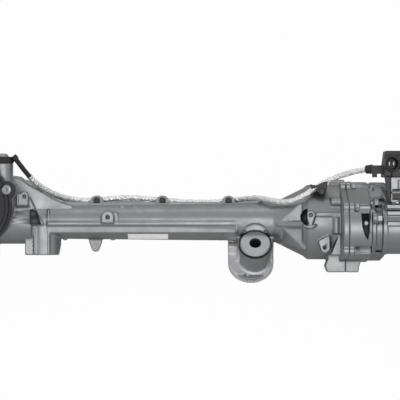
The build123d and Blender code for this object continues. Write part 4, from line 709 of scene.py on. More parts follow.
@dataclass
class RackCasting(FormedBody):
    """The long casting: pinion housing, tube with its ears, mount arm and half of the drive case.

    The web joins the pinion housing to the tube, the boss stands under it, and the cone widens the tube to
    the drive case. Each relief is named for its detail.

    Attributes:
        web_front: Y of the web's front face.
        case_front: Y of the drive case's front.
        ear_ridges: Left edges of the small ridges beside an ear of the tube.
        ridge_width: Width of such a ridge.
        arm_rib: Left and right edge of the rib at the root of the mount arm.
        boss_beads: X, Y and radius of the beads down the boss.
        thread_radii: Radii of the open threads in the web, the pad, the lip and the tag.
        cup: Radius and depth of the seat under the bushing's disc.
    """

    node: str = "rack_housing"
    name: str = "rack_casting"
    web_front: float = -27.0
    case_front: float = -54.0
    web_boss: Relief = Relief(arch((-253.0, 38.0), 6.5, 24.0), web_front - 6, web_front + 8)
    web_fin: Relief = Relief([(-263.5, 23), (-261, 23), (-261, 43), (-263.5, 41)],
                             web_front - 8, web_front + 8)
    web_shelf: Relief = Relief([(-272, 22), (-245, 22), (-245, 24), (-272, 24)], web_front - 3, web_front + 8)
    web_end: Relief = Relief([(-219.5, -1), (-217, -1), (-217, 19), (-219.5, 19)], -24.5, -12)
    web_sliver: Relief = Relief([(-254, 58), (-249, 61.5), (-243, 57), (-229, 45.5), (-226, 42), (-241, 48)],
                                -8, -2)
    web_recess: Relief = Relief([(-245, 18.5), (-238.5, 18.5), (-234, 14), (-231.2, 7), (-245.2, 7)],
                                -45, -18.4)
    web_recess_foot: Relief = Relief([(-245.2, 7.1), (-231.2, 7.1), (-228, -3.4), (-245.5, -3.4)], -45, -21.5)
    # Painted shade: this zone takes the mid-dark casting colour that stands for the shadow in the pocket
    # beside the web.
    web_recess_shade: Relief = Relief([(-245.7, 18.8), (-238.2, 18.8), (-233.6, 14.2), (-227.6, -3.6),
                                      (-246, -3.6)], -25.4, -16)
    boss_taper: Relief = Relief([(-199.6, -24), (-204.8, -46.5), (-204.8, -52), (-199, -52), (-199, -24)],
                                -40, 30)
    ear_ridges: tuple[float, ...] = (-115.5, -111.5, -97.0, -93.0)
    ridge_width: float = 2.4
    tube_ledge: Relief = Relief([(-228, 22), (-228, 46), (-214, 38), (-198, 31.8), (-178, 27.8), (-155, 27.4),
                                 (-128, 30.6), (-100, 31.4), (-70, 29), (-40, 26.6), (-12, 24.8), (16, 25),
                                 (58, 25.5), (58, 20)], 20, 33)
    ledge_end: Relief = Relief([(50, 18), (50, 28), (66, 30.4), (80, 31.4), (95, 30.2), (108, 26), (108, 18)],
                               0, 16)
    arm_rib: tuple[float, float] = (51.5, 54.0)
    boss_beads: tuple[Point, ...] = ((-238.0, -23.2, 1.3), (-217.5, -23.6, 1.6))
    # Painted light: this zone takes the pale casting colour that brightens the mount's foot.
    foot_light: Relief = Relief([(36, -31), (120, -31), (120, -95), (36, -95)], -12, 60)
    case_tag: Relief = Relief([(168, -26.5), (181.8, -18.6), (185.7, -19.4), (185.7, -39.3), (178.7, -44.1),
                               (173.3, -41.7)], case_front - 1.5, -36)
    case_lip: Relief = Relief([(146.5, -1.5), (150, -4), (156, -5.2), (161, -4.6), (165, -2.2), (165.5, -4.6),
                               (161, -7.6), (156, -8.6), (150, -7.2), (146, -4)],
                              case_front - 4, case_front + 12)
    case_wedge: Relief = Relief([(186, -47), (203, -47), (203, -15), (199, -15)],
                                case_front + 2, case_front + 20)
    moon_cut: Relief = Relief(half_moon((156.5, 7.7), 12.6, 153.0), case_front - 10, case_front + 21)
    # Painted shade: this zone takes the dark casting colour that stands for the shadow in the half-moon
    # pocket.
    moon_shade: Relief = Relief(half_moon((156.5, 7.7), 13.0, 153.3), -56.2, -30)
    thread_radii: tuple[float, float, float, float] = (2.4, 2.6, 2.8, 2.3)
    cup: tuple[float, float] = (22.9, 7.0)

    def details(self, shape: Shaper) -> None:
        """Adds the web's small boss and ridges, the tube's upper ledge and the lips of the drive case.

        Args:
            shape: The raised details.
        """
        shape.prism(self.web_boss, self.web_fin, self.web_shelf, self.web_end)
        self.bush_lip(shape)
        for x in self.ear_ridges:
            end = x + self.ridge_width
            shape.prism(Relief([(x, 20.5), (end, 20.5), (end, 24.0), (x, 24.0)], -15.5, -8))
        left, right = self.arm_rib
        shape.slab([(left, -27.4, -2), (right, -27.4, -2), (right, -26.4, -13), (left, -26.4, -13)], -14)
        shape.slab([(left, -26.4, -13), (right, -26.4, -13), (right, -11.0, -24), (left, -11.0, -24)], -6)
        for x, y, radius in self.boss_beads:
            shape.rod(radius, (x, y, -9), (x, y, -47))
        shape.prism(self.tube_ledge, self.ledge_end, self.web_sliver)
        self.cone_pockets(shape)
        shape.prism(self.case_tag)
        shape.rod(6.0, (194.7, self.case_front + 2.0, 6.9), (194.7, self.case_front + 2.0, -15.6))
        shape.prism(self.case_lip, self.case_wedge)

    def zones(self) -> list[tuple[Finish, Relief]]:
        """Gives the painted shade of the pocket beside the web and of the half-moon, and the painted light of
        the mount's foot.
        """
        return [(RECESS_SHADE_CASTING, self.web_recess_shade), (POCKET_SHADE_CASTING, self.moon_shade),
                (FOOT_LIGHT_CASTING, self.foot_light)]

    def cone_pockets(self, shape: Shaper) -> None:
        """Lets both pockets of the cone run out to its surface, and raises the rib between them.

        Args:
            shape: The raised details.
        """
        edge = [(115.5, -32.6, 0.2), (130.0, -37.2, 14.0), (144.5, -37.6, 29.0), (150.5, -42.5, 29.0)]
        for start, end in zip(edge, edge[1:]):
            shape.slab([start, end, (150.5, -41.0, 0.2)], -26)
        lower = [(117.5, -33.6, -7), (150.5, -37.0, -40.5), (150.5, -41.0, -7)]
        corner = [(117.5, -33.6, -7), (115.5, -19.5, -27.5), (150.5, -37.0, -40.5)]
        rib = [(110, -31.0, -1.7), (110, -31.0, -5.6), (150.5, -51.5, -5.6), (150.5, -51.5, -1.7)]
        for front, back in ((lower, -24), (corner, -8), (rib, -26)):
            shape.slab(front, back)

    def bush_lip(self, shape: Shaper) -> None:
        """Brings the tube's front down to the upper edge of the bushing's disc.

        Args:
            shape: The raised details.
        """
        x, _, z = BUSH_AT
        turns = [math.radians(35 + 11 * i) for i in range(11)]
        bend = -14.5
        for start, end in zip(turns, turns[1:]):
            near = [(x + 22 * math.cos(t), z + 18 * math.sin(t)) for t in (start, end)]
            far = [(x + 34 * math.cos(t), z + 27.5 * math.sin(t)) for t in (end, start)]
            low = min(height for _, height in near)
            front = -25.0 if low > bend else -25.0 + 1.8 * (bend - low)
            shape.prism(Relief(near + far, front, -12))

    def cuts(self, shape: Shaper) -> None:
        """Adds the threaded holes, the half-moon pocket and the sharp-edged openings.

        Args:
            shape: The cutter.
        """
        web_thread, pad_thread, lip_thread, tag_thread = self.thread_radii
        radius, depth = self.cup
        shape.rod(web_thread, (-252.0, -50, 37.5), (-252.0, -26, 37.5))
        shape.prism(self.web_recess, self.web_recess_foot, self.moon_cut)
        shape.rod(pad_thread, (-132.7, -40, 7.3), (-132.7, -22, 7.3))
        shape.rod(lip_thread, (157.6, -70, 10.5), (157.6, -49, 10.5))
        shape.rod(tag_thread, (177.5, -60, -36.0), (177.5, -35.5, -36.0))
        shape.prism(self.boss_taper)
        shape.turned([(0, -depth), (radius, -depth), (radius, 0), (0, 0)], BUSH_AT, BUSH_UP, 72)
        x, y, z = BUSH_AT
        shape.prism(Relief(ellipse((x, z), 23.2, 18.6), y - 14, y + 17))


@dataclass
class BeltCasting(FormedBody):
    """The short casting round the belt drive, with a rim and a deep pocket beside the motor face."""

    node: str = "belt_housing"
    name: str = "belt_casting"
    motor_rim: Relief = Relief([(238, -14), (241, -14), (241, 19), (238, 19)], -113, -95)
    block_boss: Relief = Relief([(244, 57.5), (264, 57.5), (277, 50), (277, 28), (244, 28)], -22, -8)
    motor_pocket: Relief = Relief([(226.0, 13), (237, 13), (237.4, -12), (235, -25), (230, -17), (226.5, -4)],
                                  -125, -99)
    # Painted shade: this zone takes the dark casting colour that stands for the shadow in the pocket beside
    # the motor face.
    pocket_shade: Relief = Relief([(225.6, 13.4), (237.3, 13.4), (237.8, -12), (235, -25.6), (229.6, -17),
                                  (226, -4)], -108.5, -95)
    top_notch: Relief = Relief([(234, 53.5), (252, 53.5), (250, 60), (236, 60)], -40, -18)

    def details(self, shape: Shaper) -> None:
        """Adds the rim of the motor face and the boss behind the connector block."""
        shape.prism(self.motor_rim, self.block_boss)

    def cuts(self, shape: Shaper) -> None:
        """Adds the pocket beside the motor face and the notch in the top of the case."""
        shape.prism(self.motor_pocket, self.top_notch)

    def zones(self) -> list[tuple[Finish, Relief]]:
        """Gives the painted shade in the pocket beside the motor face."""
        return [(POCKET_SHADE_CASTING, self.pocket_shade)]


@dataclass
class MotorCan(FormedBody):
    """The motor's can, ribbed along its front.

    Attributes:
        start: X where the ribs start.
        end: X where they end.
        ribs: Lower edge, upper edge and front of each rib.
        collar: Cross-section of the ring behind the flange, as radius and X.
    """

    node: str = "motor_housing"
    name: str = "motor_can"
    coat: Finish = MOTOR_CAN_STEEL
    grid: float = 0.8
    start: float = 262
    end: float = 352
    ribs: tuple[Point, ...] = ((20.0, 25.5, -101.0), (10.2, 16.2, -105.0), (-4.5, 2.0, -109.5))
    collar: tuple[tuple[float, float], ...] = ((30.6, 256.2), (36.0, 256.2), (36.6, 257.5), (36.6, 262.5),
                                               (30.6, 262.5))

    def details(self, shape: Shaper) -> None:
        """Adds the collar and the three ribs along the front of the can.

        Args:
            shape: The raised details.
        """
        shape.loop(self.collar, (0, *MOTOR_AT), RACK_AXIS, 96)
        for low, high, front in self.ribs:
            rib = [(self.start, low), (self.end, low), (self.end, high), (self.start, high)]
            shape.prism(Relief(rib, front, -84))


@dataclass
class UnitTray(FormedBody):
    """The control unit's tray with the step and the slot along its front."""

    node: str = "control_housing"
    name: str = "unit_tray"
    grid: float = 0.8
    bead: Relief = Relief([(267.5, 41.0), (371, 41.0), (371, 43.6), (267.5, 43.6)], -112.4, -104)
    slot: Relief = Relief([(269, 44.6), (371, 44.6), (371, 47.4), (269, 47.4)], -120, -107.2)
    recess: Relief = Relief([(269, 32), (371, 32), (371, 40.4), (269, 40.4)], -120, -106.8)

    def details(self, shape: Shaper) -> None:
        """Adds the bead under the slot."""
        shape.prism(self.bead)

    def cuts(self, shape: Shaper) -> None:
        """Adds the slot and the recess below the bead."""
        shape.prism(self.slot, self.recess)


@dataclass
class PlugBlock(FormedBody):
    """The moulded connector block with rims round its sockets.

    Attributes:
        sockets: X of each socket's axis.
        socket_height: Z of the sockets' axes.
        face: Y of the block's front.
        rim: Inner and outer radius of a socket's rim.
        ribs: Left edges of the ribs between the sockets.
    """

    node: str = "connector_block"
    name: str = "plug_block"
    coat: Finish = BLACK_NYLON
    grid: float = 0.8
    sockets: tuple[float, float] = (268.5, 300.5)
    socket_height: float = 83
    face: float = -105
    rim: tuple[float, float] = (8.9, 10.9)
    ribs: tuple[float, ...] = (281.5, 284.5, 287.5)
    top_bead: Relief = Relief([(263, 94), (329, 94), (329, 95.8), (263, 95.8)], face - 0.2, -100)
    key: Relief = Relief([(268, 66), (282, 66), (282, 71), (268, 71)], face - 1.5, -100)
    corner_slant: Relief = Relief([(250, 78), (258.2, 78), (261.6, 103), (250, 103)], -120, -40)

    def details(self, shape: Shaper) -> None:
        """Adds the socket rims, the bead along the top and the ribs between the sockets.

        Args:
            shape: The raised details.
        """
        inner, outer = self.rim
        section = [(inner, -4.5), (outer, -4.5), (outer, 6), (inner, 6)]
        for x in self.sockets:
            shape.loop(section, (x, self.face, self.socket_height), AWAY, 48)
        shape.prism(self.top_bead)
        for x in self.ribs:
            shape.prism(Relief([(x, 72), (x + 1.2, 72), (x + 1.2, 92), (x, 92)], self.face - 0.6, -100))
        shape.prism(self.key)

    def cuts(self, shape: Shaper) -> None:
        """Adds the slant of the upper left corner."""
        shape.prism(self.corner_slant)


@dataclass
class SaddleClip(FormedBody):
    """The black clip under the sleeve: a cradle that follows it, a large and a small lobe.

    Attributes:
        back: Y of the clip's back.
        large_lobe: Radius of the lower lobe.
        small_lobe: Radius of the upper lobe.
    """

    node: str = "case_saddle"
    name: str = "saddle_clip"
    coat: Finish = BLACK_NYLON
    grid: float = 0.6
    fresh: bool = True
    back: float = -30
    large_lobe: float = 4.4
    small_lobe: float = 2.6
    cradle: Relief = Relief([(157.5, 54.5), (158.5, 49.5), (163, 47.5), (166.5, 45.5), (169.5, 41),
                             (174.5, 39.2), (179, 41.5), (181.2, 48), (182.5, 58.5), (178, 58.5),
                             (165, 52.5)], -47.5, back)

    def details(self, shape: Shaper) -> None:
        """Adds the cradle and its lobes.

        Args:
            shape: The raised details.
        """
        shape.prism(self.cradle)
        shape.rod(self.large_lobe, (174.2, -49.5, 44.2), (174.2, self.back, 44.2))
        shape.rod(self.small_lobe, (160.6, -49.0, 50.6), (160.6, -36, 50.6))


@dataclass
class MountSleeve:
    """The bushing's inner sleeve with its wide disc; its bore carries painted shade, charcoal, for the shadow
    deep inside it.

    Attributes:
        bore: Radius of the bore.
        tube: Radius of the sleeve.
        disc: Radius of the disc.
        length: Length under the disc's top.
        dark_radius: Radius within which faces get the painted shade of the bore.
    """

    bore: float = 7.25
    tube: float = 11.0
    disc: float = 22.3
    length: float = 60.4
    dark_radius: float = 8.3

    def build(self) -> None:
        """Makes the sleeve from its turned profile and gives its bore painted shade."""
        shape = Shaper()
        under = -3.5
        section = [(self.bore, -self.length), (self.tube, -self.length), (self.tube, under),
                   (self.disc - 1, under), (self.disc, -2.6), (self.disc, -1.9), (self.disc - 1.7, 0.0),
                   (8.6, 0.0), (self.bore, -1.4)]
        shape.loop(section, BUSH_AT, BUSH_UP, 96)
        mesh = shape.finish("mount_sleeve")
        mesh.materials.append(MACHINED_ALUMINIUM.material())
        mesh.materials.append(BORE_SHADE_STEEL.material())
        axis = (CASTING.to_3x3() @ Vector(BUSH_UP)).normalized()
        centre = CASTING @ Vector(BUSH_AT)
        # Painted shade: faces near the axis take the charcoal colour that stands for the shadow deep in the
        # bore.
        for polygon in mesh.polygons:
            away = polygon.center - centre
            polygon.material_index = int((away - axis * away.dot(axis)).length < self.dark_radius * MM)
        piece = new_piece("mount_sleeve", mesh, MACHINED_ALUMINIUM, "housing")
        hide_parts("bushing_core")


@dataclass
class Label:
    """A blank label on the lower slope of the tube.

    Attributes:
        left: Left end of the label.
        right: Right end of the label.
        top: Upper edge at the front.
        bottom: Lower edge.
        columns: Number of steps along the label.
        rows: Number of steps down the label.
        front: Height of the film's front above the casting.
        back: Height of the film's back above the casting.
    """

    left: float = -104.0
    right: float = -46.0
    top: float = -16.9
    bottom: float = -24.4
    columns: int = 24
    rows: int = 8
    front: float = 0.35
    back: float = 0.05

    def build(self, casting: bpy.types.Object) -> None:
        """Lays a thin sheet on the casting.

        Args:
            casting: The casting that carries the label.
        """
        shape = Shaper()
        to_casting = CASTING.inverted()
        grid = []
        for i in range(self.columns + 1):
            x = self.left + (self.right - self.left) * i / self.columns
            column = []
            for k in range(self.rows + 1):
                z = self.top + (self.bottom - self.top) * k / self.rows
                start = CASTING @ Vector((x, -80, z))
                aim = (CASTING @ Vector((x, 0, z)) - start).normalized()
                hit, place, normal, _ = casting.ray_cast(start, aim)
                if not hit:
                    place, normal = CASTING @ Vector((x, -20, z)), -aim
                column.append(tuple(shape.mesh.verts.new(to_casting @ (place + normal * lift * MM))
                                    for lift in (self.front, self.back)))
            grid.append(column)
        shape.sheet(grid)
        new_piece("label", shape.finish("label"), LABEL_FILM, "housing")


@dataclass
class Lead:
    """The lead along the casting: a black conduit out of the tower, then a foil-wrapped sleeve to its plug.

    Attributes:
        conduit_route: Route points of the conduit, from the tower.
        sleeve_route: Route points of the sleeve, from the conduit's end to the plug.
        conduit_radius: Radius of the conduit.
        sleeve_radius: Radius of the sleeve.
        sleeve_length: Length of the sleeve along its middle; not used.
        crinkle: Share of the sleeve's radius by which its foil comes in here and there.
        flats: Number of flats round the sleeve.
    """

    conduit_route: tuple[Point, ...] = (
        (-263.5, -33.0, 89.5), (-257.0, -31.5, 81.0), (-250.0, -28.0, 71.5), (-245.5, -24.0, 66.25))
    sleeve_route: tuple[Point, ...] = (
        (-245.5, -24.0, 66.25), (-241.0, -20.0, 61.0), (-229.0, -8.0, 50.5), (-215.0, 6.0, 42.0),
        (-198.0, 20.0, 35.5), (-178.0, 29.0, 31.5), (-155.0, 32.5, 31.2), (-128.0, 32.5, 34.5),
        (-100.0, 33.0, 35.5), (-70.0, 33.5, 33.0), (-40.0, 33.0, 30.5), (-12.0, 33.0, 28.3),
        (16.0, 32.5, 28.7), (40.0, 33.2, 30.0), (57.0, 27.5, 32.8), (74.0, 12.0, 35.0), (92.0, -8.0, 34.0),
        (110.0, -25.0, 29.8), (128.0, -38.0, 29.0), (146.0, -46.0, 36.5), (163.0, -44.0, 48.5),
        (182.0, -42.0, 59.5), (202.0, -50.0, 67.5), (219.0, -61.0, 72.5), (236.0, -71.0, 75.0))
    conduit_radius: float = 3.5
    sleeve_radius: float = 4.5
    sleeve_length: float = 554.5
    crinkle: float = 0.3
    flats: int = 14

    def spline_points(self, route: tuple[Point, ...]) -> list[Vector]:
        """Reads the smooth line that a route's points control.

        Args:
            route: Control points in the casting frame.

        Returns:
            Points along the line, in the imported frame.
        """
        curve = bpy.data.curves.new("route", "CURVE")
        curve.dimensions = "3D"
        spline = curve.splines.new("NURBS")
        spline.points.add(len(route) - 1)
        for point, place in zip(spline.points, route):
            point.co = (*(CASTING @ Vector(place)), 1.0)
        spline.order_u = 3
        spline.use_endpoint_u = True
        spline.resolution_u = 24
        holder = bpy.data.objects.new("route", curve)
        bpy.context.scene.collection.objects.link(holder)
        line = bpy.data.meshes.new_from_object(holder.evaluated_get(bpy.context.evaluated_depsgraph_get()))
        points = [v.co.copy() for v in line.vertices]
        bpy.data.objects.remove(holder)
        bpy.data.meshes.remove(line)
        return points

    def tube(self, name: str, points: list[Vector], radius: float, rough: float,
             steps: int) -> bpy.types.Mesh:
        """Makes a closed tube along a line; a rough one keeps its facets.

        Args:
            name: Name of the mesh.
            points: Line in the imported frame.
            radius: Radius in millimetres.
            rough: Share of the radius by which the skin comes in here and there.
            steps: Number of points round the tube.

        Returns:
            The tube's mesh.
        """
        chance = random.Random(7)
        kept = 0.35
        mesh = bmesh.new()
        side = (points[1] - points[0]).orthogonal().normalized()
        rings = []
        swell = [0.0] * steps
        for i, point in enumerate(points):
            ahead = (points[min(i + 1, len(points) - 1)] - points[max(i - 1, 0)]).normalized()
            side = (side - ahead * side.dot(ahead)).normalized()
            other = ahead.cross(side)
            swell = [kept * s + (1 - kept) * chance.random() for s in swell]
            ring = []
            for k in range(steps):
                angle = math.tau * k / steps
                reach = radius * MM * (1 - rough * swell[k])
                outward = side * math.cos(angle) + other * math.sin(angle)
                ring.append(mesh.verts.new(point + outward * reach))
            rings.append(ring)
        for low, high in zip(rings, rings[1:]):
            for k in range(steps):
                n = (k + 1) % steps
                mesh.faces.new((low[k], low[n], high[n], high[k])).smooth = not rough
        mesh.faces.new(list(reversed(rings[0])))
        mesh.faces.new(rings[-1])
        result = bpy.data.meshes.new(name)
        mesh.to_mesh(result)
        mesh.free()
        return result

    def build(self) -> bpy.types.Object:
        """Returns:
            The sleeve's object.
        """
        conduit_line = self.spline_points(self.conduit_route)
        sleeve_line = self.spline_points(self.sleeve_route)
        black = self.tube("conduit", conduit_line, self.conduit_radius, 0.0, 24)
        conduit = new_piece("conduit", black, BLACK_RUBBER, "housing")
        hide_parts("lead_conduit")
        foil = self.tube("foil_sleeve", sleeve_line[::2], self.sleeve_radius, self.crinkle, self.flats)
        sleeve = new_piece("foil_sleeve", foil, FOIL_WRAP, "housing")
        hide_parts("lead_sleeve")
        return sleeve


class Growth:
    """A tree of geometry nodes that turns a mesh and named inputs into a finished mesh."""

    def __init__(self, name: str, inputs: dict[str, str]) -> None:
        """Makes the tree with its inputs and its output.

        Args:
            name: Name of the tree.
            inputs: Kind of socket by the input's name.
        """
        self.tree = bpy.data.node_groups.new(name, "GeometryNodeTree")
        sockets = self.tree.interface
        sockets.new_socket("Mesh", in_out="INPUT", socket_type="NodeSocketGeometry")
        self.keys = {title: sockets.new_socket(title, in_out="INPUT", socket_type=kind).identifier
                     for title, kind in {**inputs, "Finish": "NodeSocketMaterial"}.items()}
        sockets.new_socket("Mesh", in_out="OUTPUT", socket_type="NodeSocketGeometry")
        self.source = add_node(self.tree, "NodeGroupInput")
        self.sink = add_node(self.tree, "NodeGroupOutput")

    def end(self, geometry: bpy.types.NodeSocket) -> None:
        """Ends the tree: instances become mesh and take the finish.

        Args:
            geometry: What the tree has made.
        """
        real = add_node(self.tree, "GeometryNodeRealizeInstances", {"Geometry": geometry})
        dressed = add_node(self.tree, "GeometryNodeSetMaterial", {
            "Geometry": real.outputs[0], "Material": self.source.outputs["Finish"]})
        self.tree.links.new(dressed.outputs[0], self.sink.inputs[0])

    def run(self, mesh: bpy.types.Mesh, values: dict) -> bpy.types.Mesh:
        """Runs the tree once.

        Args:
            mesh: The mesh that goes in.
            values: Value by the input's name.

        Returns:
            The mesh that comes out.
        """
        holder = bpy.data.objects.new("growing", mesh)
        bpy.context.scene.collection.objects.link(holder)
        modifier = holder.modifiers.new("growth", "NODES")
        modifier.node_group = self.tree
        for title, value in values.items():
            modifier[self.keys[title]] = value
        result = bpy.data.meshes.new_from_object(holder.evaluated_get(bpy.context.evaluated_depsgraph_get()))
        bpy.data.objects.remove(holder)
        return result


class ScrewHead(Enum):
    """Kinds of screw head on the gear."""

    HEXAGON = "flanged hexagon"
    STAR = "flanged round head with a star recess"


@dataclass
class Screws:
    """A set of equal screws, copied to their places and each turned by chance.

    Attributes:
        node: CAD node of the set.
        head: Kind of head.
        across: Width of the hexagon, or of the round head.
        rise: Height of the head.
        places: Seats of the heads, in the casting frame.
        axis: Direction that the heads point in, in the casting frame.
        seed: Seed of the turns.
        extra: Whether the CAD has no such node.
    """

    node: str
    head: ScrewHead
    across: float
    rise: float
    places: list[Point]
    axis: Point
    seed: int
    extra: bool = False

    def unit(self) -> bpy.types.Object:
        """Makes one screw that stands on its seat at the origin.

        Returns:
            A hidden object with the screw.
        """
        shape = Shaper()
        half = self.across / 2
        shank = 2.5
        flange = half * 1.36
        shape.turned([(0, -3), (shank, -3), (shank, 0), (flange - half * 0.02, 0), (flange, 0.5),
                      (half * 1.25, 1.3), (half * 0.9, 1.9), (0, 1.9)], ORIGIN, UP, 36)
        if self.head is ScrewHead.HEXAGON:
            corner = half / math.cos(math.pi / 6)
            dish = self.rise - 0.5
            shape.turned([(0, 1), (corner, 1), (corner, self.rise - 0.7), (corner * 0.9, self.rise - 0.1),
                          (corner * 0.72, self.rise), (corner * 0.66, dish), (0, dish)], ORIGIN, UP, 6)
        else:
            shape.turned([(0, 1), (half, 1), (half, self.rise - 1.2), (half * 0.94, self.rise - 0.4),
                          (half * 0.8, self.rise), (0, self.rise)], ORIGIN, UP, 36)
        mesh = shape.finish("screw", place=Matrix.Scale(MM, 4))
        if self.head is ScrewHead.STAR:
            mesh = self.recessed(mesh)
        mesh.materials.clear()
        return temporary(mesh)

    def recessed(self, mesh: bpy.types.Mesh) -> bpy.types.Mesh:
        """Cuts the six-pointed recess into a round head.

        Args:
            mesh: The screw.

        Returns:
            The screw with its recess.
        """
        star = Shaper()
        point = self.across / 4
        floor = self.rise - 2.2
        star.turned([(0, floor), (point, floor), (point, self.rise + 1), (0, self.rise + 1)], ORIGIN, UP, 12)
        for vert in star.mesh.verts:
            spoke = round(math.degrees(math.atan2(vert.co.y, vert.co.x)) / 30) % 2
            vert.co.xy = vert.co.xy * (0.72 if spoke else 1.0)
        tool = temporary(star.finish("star", place=Matrix.Scale(MM, 4)))
        cut = settled(mesh, [("BOOLEAN", {"object": tool, "operation": "DIFFERENCE", "solver": "EXACT"})])
        bpy.data.objects.remove(tool)
        return cut

    def growth(self) -> Growth:
        """Makes the tree that stands a screw on each place and turns it by chance.

        Returns:
            The tree.
        """
        growth = Growth("screws at their places", {
            "Unit": "NodeSocketObject", "Axis": "NodeSocketVector", "Seed": "NodeSocketInt"})
        tree, source = growth.tree, growth.source
        unit = add_node(tree, "GeometryNodeObjectInfo", {"Object": source.outputs["Unit"]})
        upright = add_node(tree, "FunctionNodeAlignRotationToVector", {"Vector": source.outputs["Axis"]},
                           axis="Z")
        chance = add_node(tree, "FunctionNodeRandomValue", {2: 0.0, 3: math.tau, 8: source.outputs["Seed"]},
                          data_type="FLOAT")
        spin = add_node(tree, "FunctionNodeAxisAngleToRotation", {"Axis": UP, "Angle": chance.outputs[1]})
        turn = add_node(tree, "FunctionNodeRotateRotation", {
            "Rotation": upright.outputs[0], "Rotate By": spin.outputs[0]}, rotation_space="LOCAL")
        copies = add_node(tree, "GeometryNodeInstanceOnPoints", {
            "Points": source.outputs["Mesh"], "Instance": unit.outputs["Geometry"],
            "Rotation": turn.outputs[0]})
        growth.end(copies.outputs[0])
        return growth

    def build(self) -> bpy.types.Object:
        """Puts the screws at their places.

        Returns:
            The set as one object.
        """
        spots = bpy.data.meshes.new("spots")
        spots.from_pydata([CASTING @ Vector(place) for place in self.places], [], [])
        unit = self.unit()
        axis = CASTING.to_3x3().normalized() @ Vector(self.axis)
        mesh = self.growth().run(spots, {
            "Unit": unit, "Axis": tuple(axis), "Seed": self.seed, "Finish": ZINC_PLATED_STEEL.material()})
        bpy.data.objects.remove(unit)
        piece = new_piece(self.node + "_set", mesh, ZINC_PLATED_STEEL, "housing")
        if not self.extra:
            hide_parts(self.node)
        return piece


def seats(x: float, centre: tuple[float, float], radius: float, angles: tuple[float, ...]) -> list[Point]:
    """Gives the seats of screws on a circle round an axis along the rack.

    Args:
        x: Place of the seats along the rack.
        centre: Middle of the circle, as Y and Z.
        radius: Radius of the circle.
        angles: Angle of each seat in degrees, from Y towards Z.

    Returns:
        The seats, in the casting frame.
    """
    turns = [math.radians(angle) for angle in angles]
    return [(x, centre[0] + radius * math.cos(t), centre[1] + radius * math.sin(t)) for t in turns]


def screw_sets() -> list[Screws]:
    """Gives every set of screws: round the case, round the motor, on the cover and in the motor's pocket.

    Returns:
        The sets, in the order in which they are built.
    """
    case_face = 217.04
    motor_face = 247.04
    case = seats(case_face, (0, 0), 58.0, (10, 52, 118, 300, 335))
    case += seats(case_face, MOTOR_AT, 40.0, (230, 130))
    motor = seats(motor_face, MOTOR_AT, 42.0, (158.3, 60.0, -35.0))
    cover = [(-273.77, -75.22, 46.36), (-373.29, -48.55, 59.93), (-334.88, -58.85, -36.09)]
    pocket = [(232.6, -102.0, -0.6)]
    return [Screws("case_bolts", ScrewHead.HEXAGON, 10.0, 6.5, case, RACK_AXIS, 3),
            Screws("motor_bolts", ScrewHead.HEXAGON, 11.0, 7.5, motor, RACK_AXIS, 5),
            Screws("cover_screws", ScrewHead.STAR, 10.6, 4.8, cover, PINION_AXIS, 9),
            Screws("pocket_screw", ScrewHead.STAR, 5.6, 3.4, pocket, TOWARDS, 11, extra=True)]


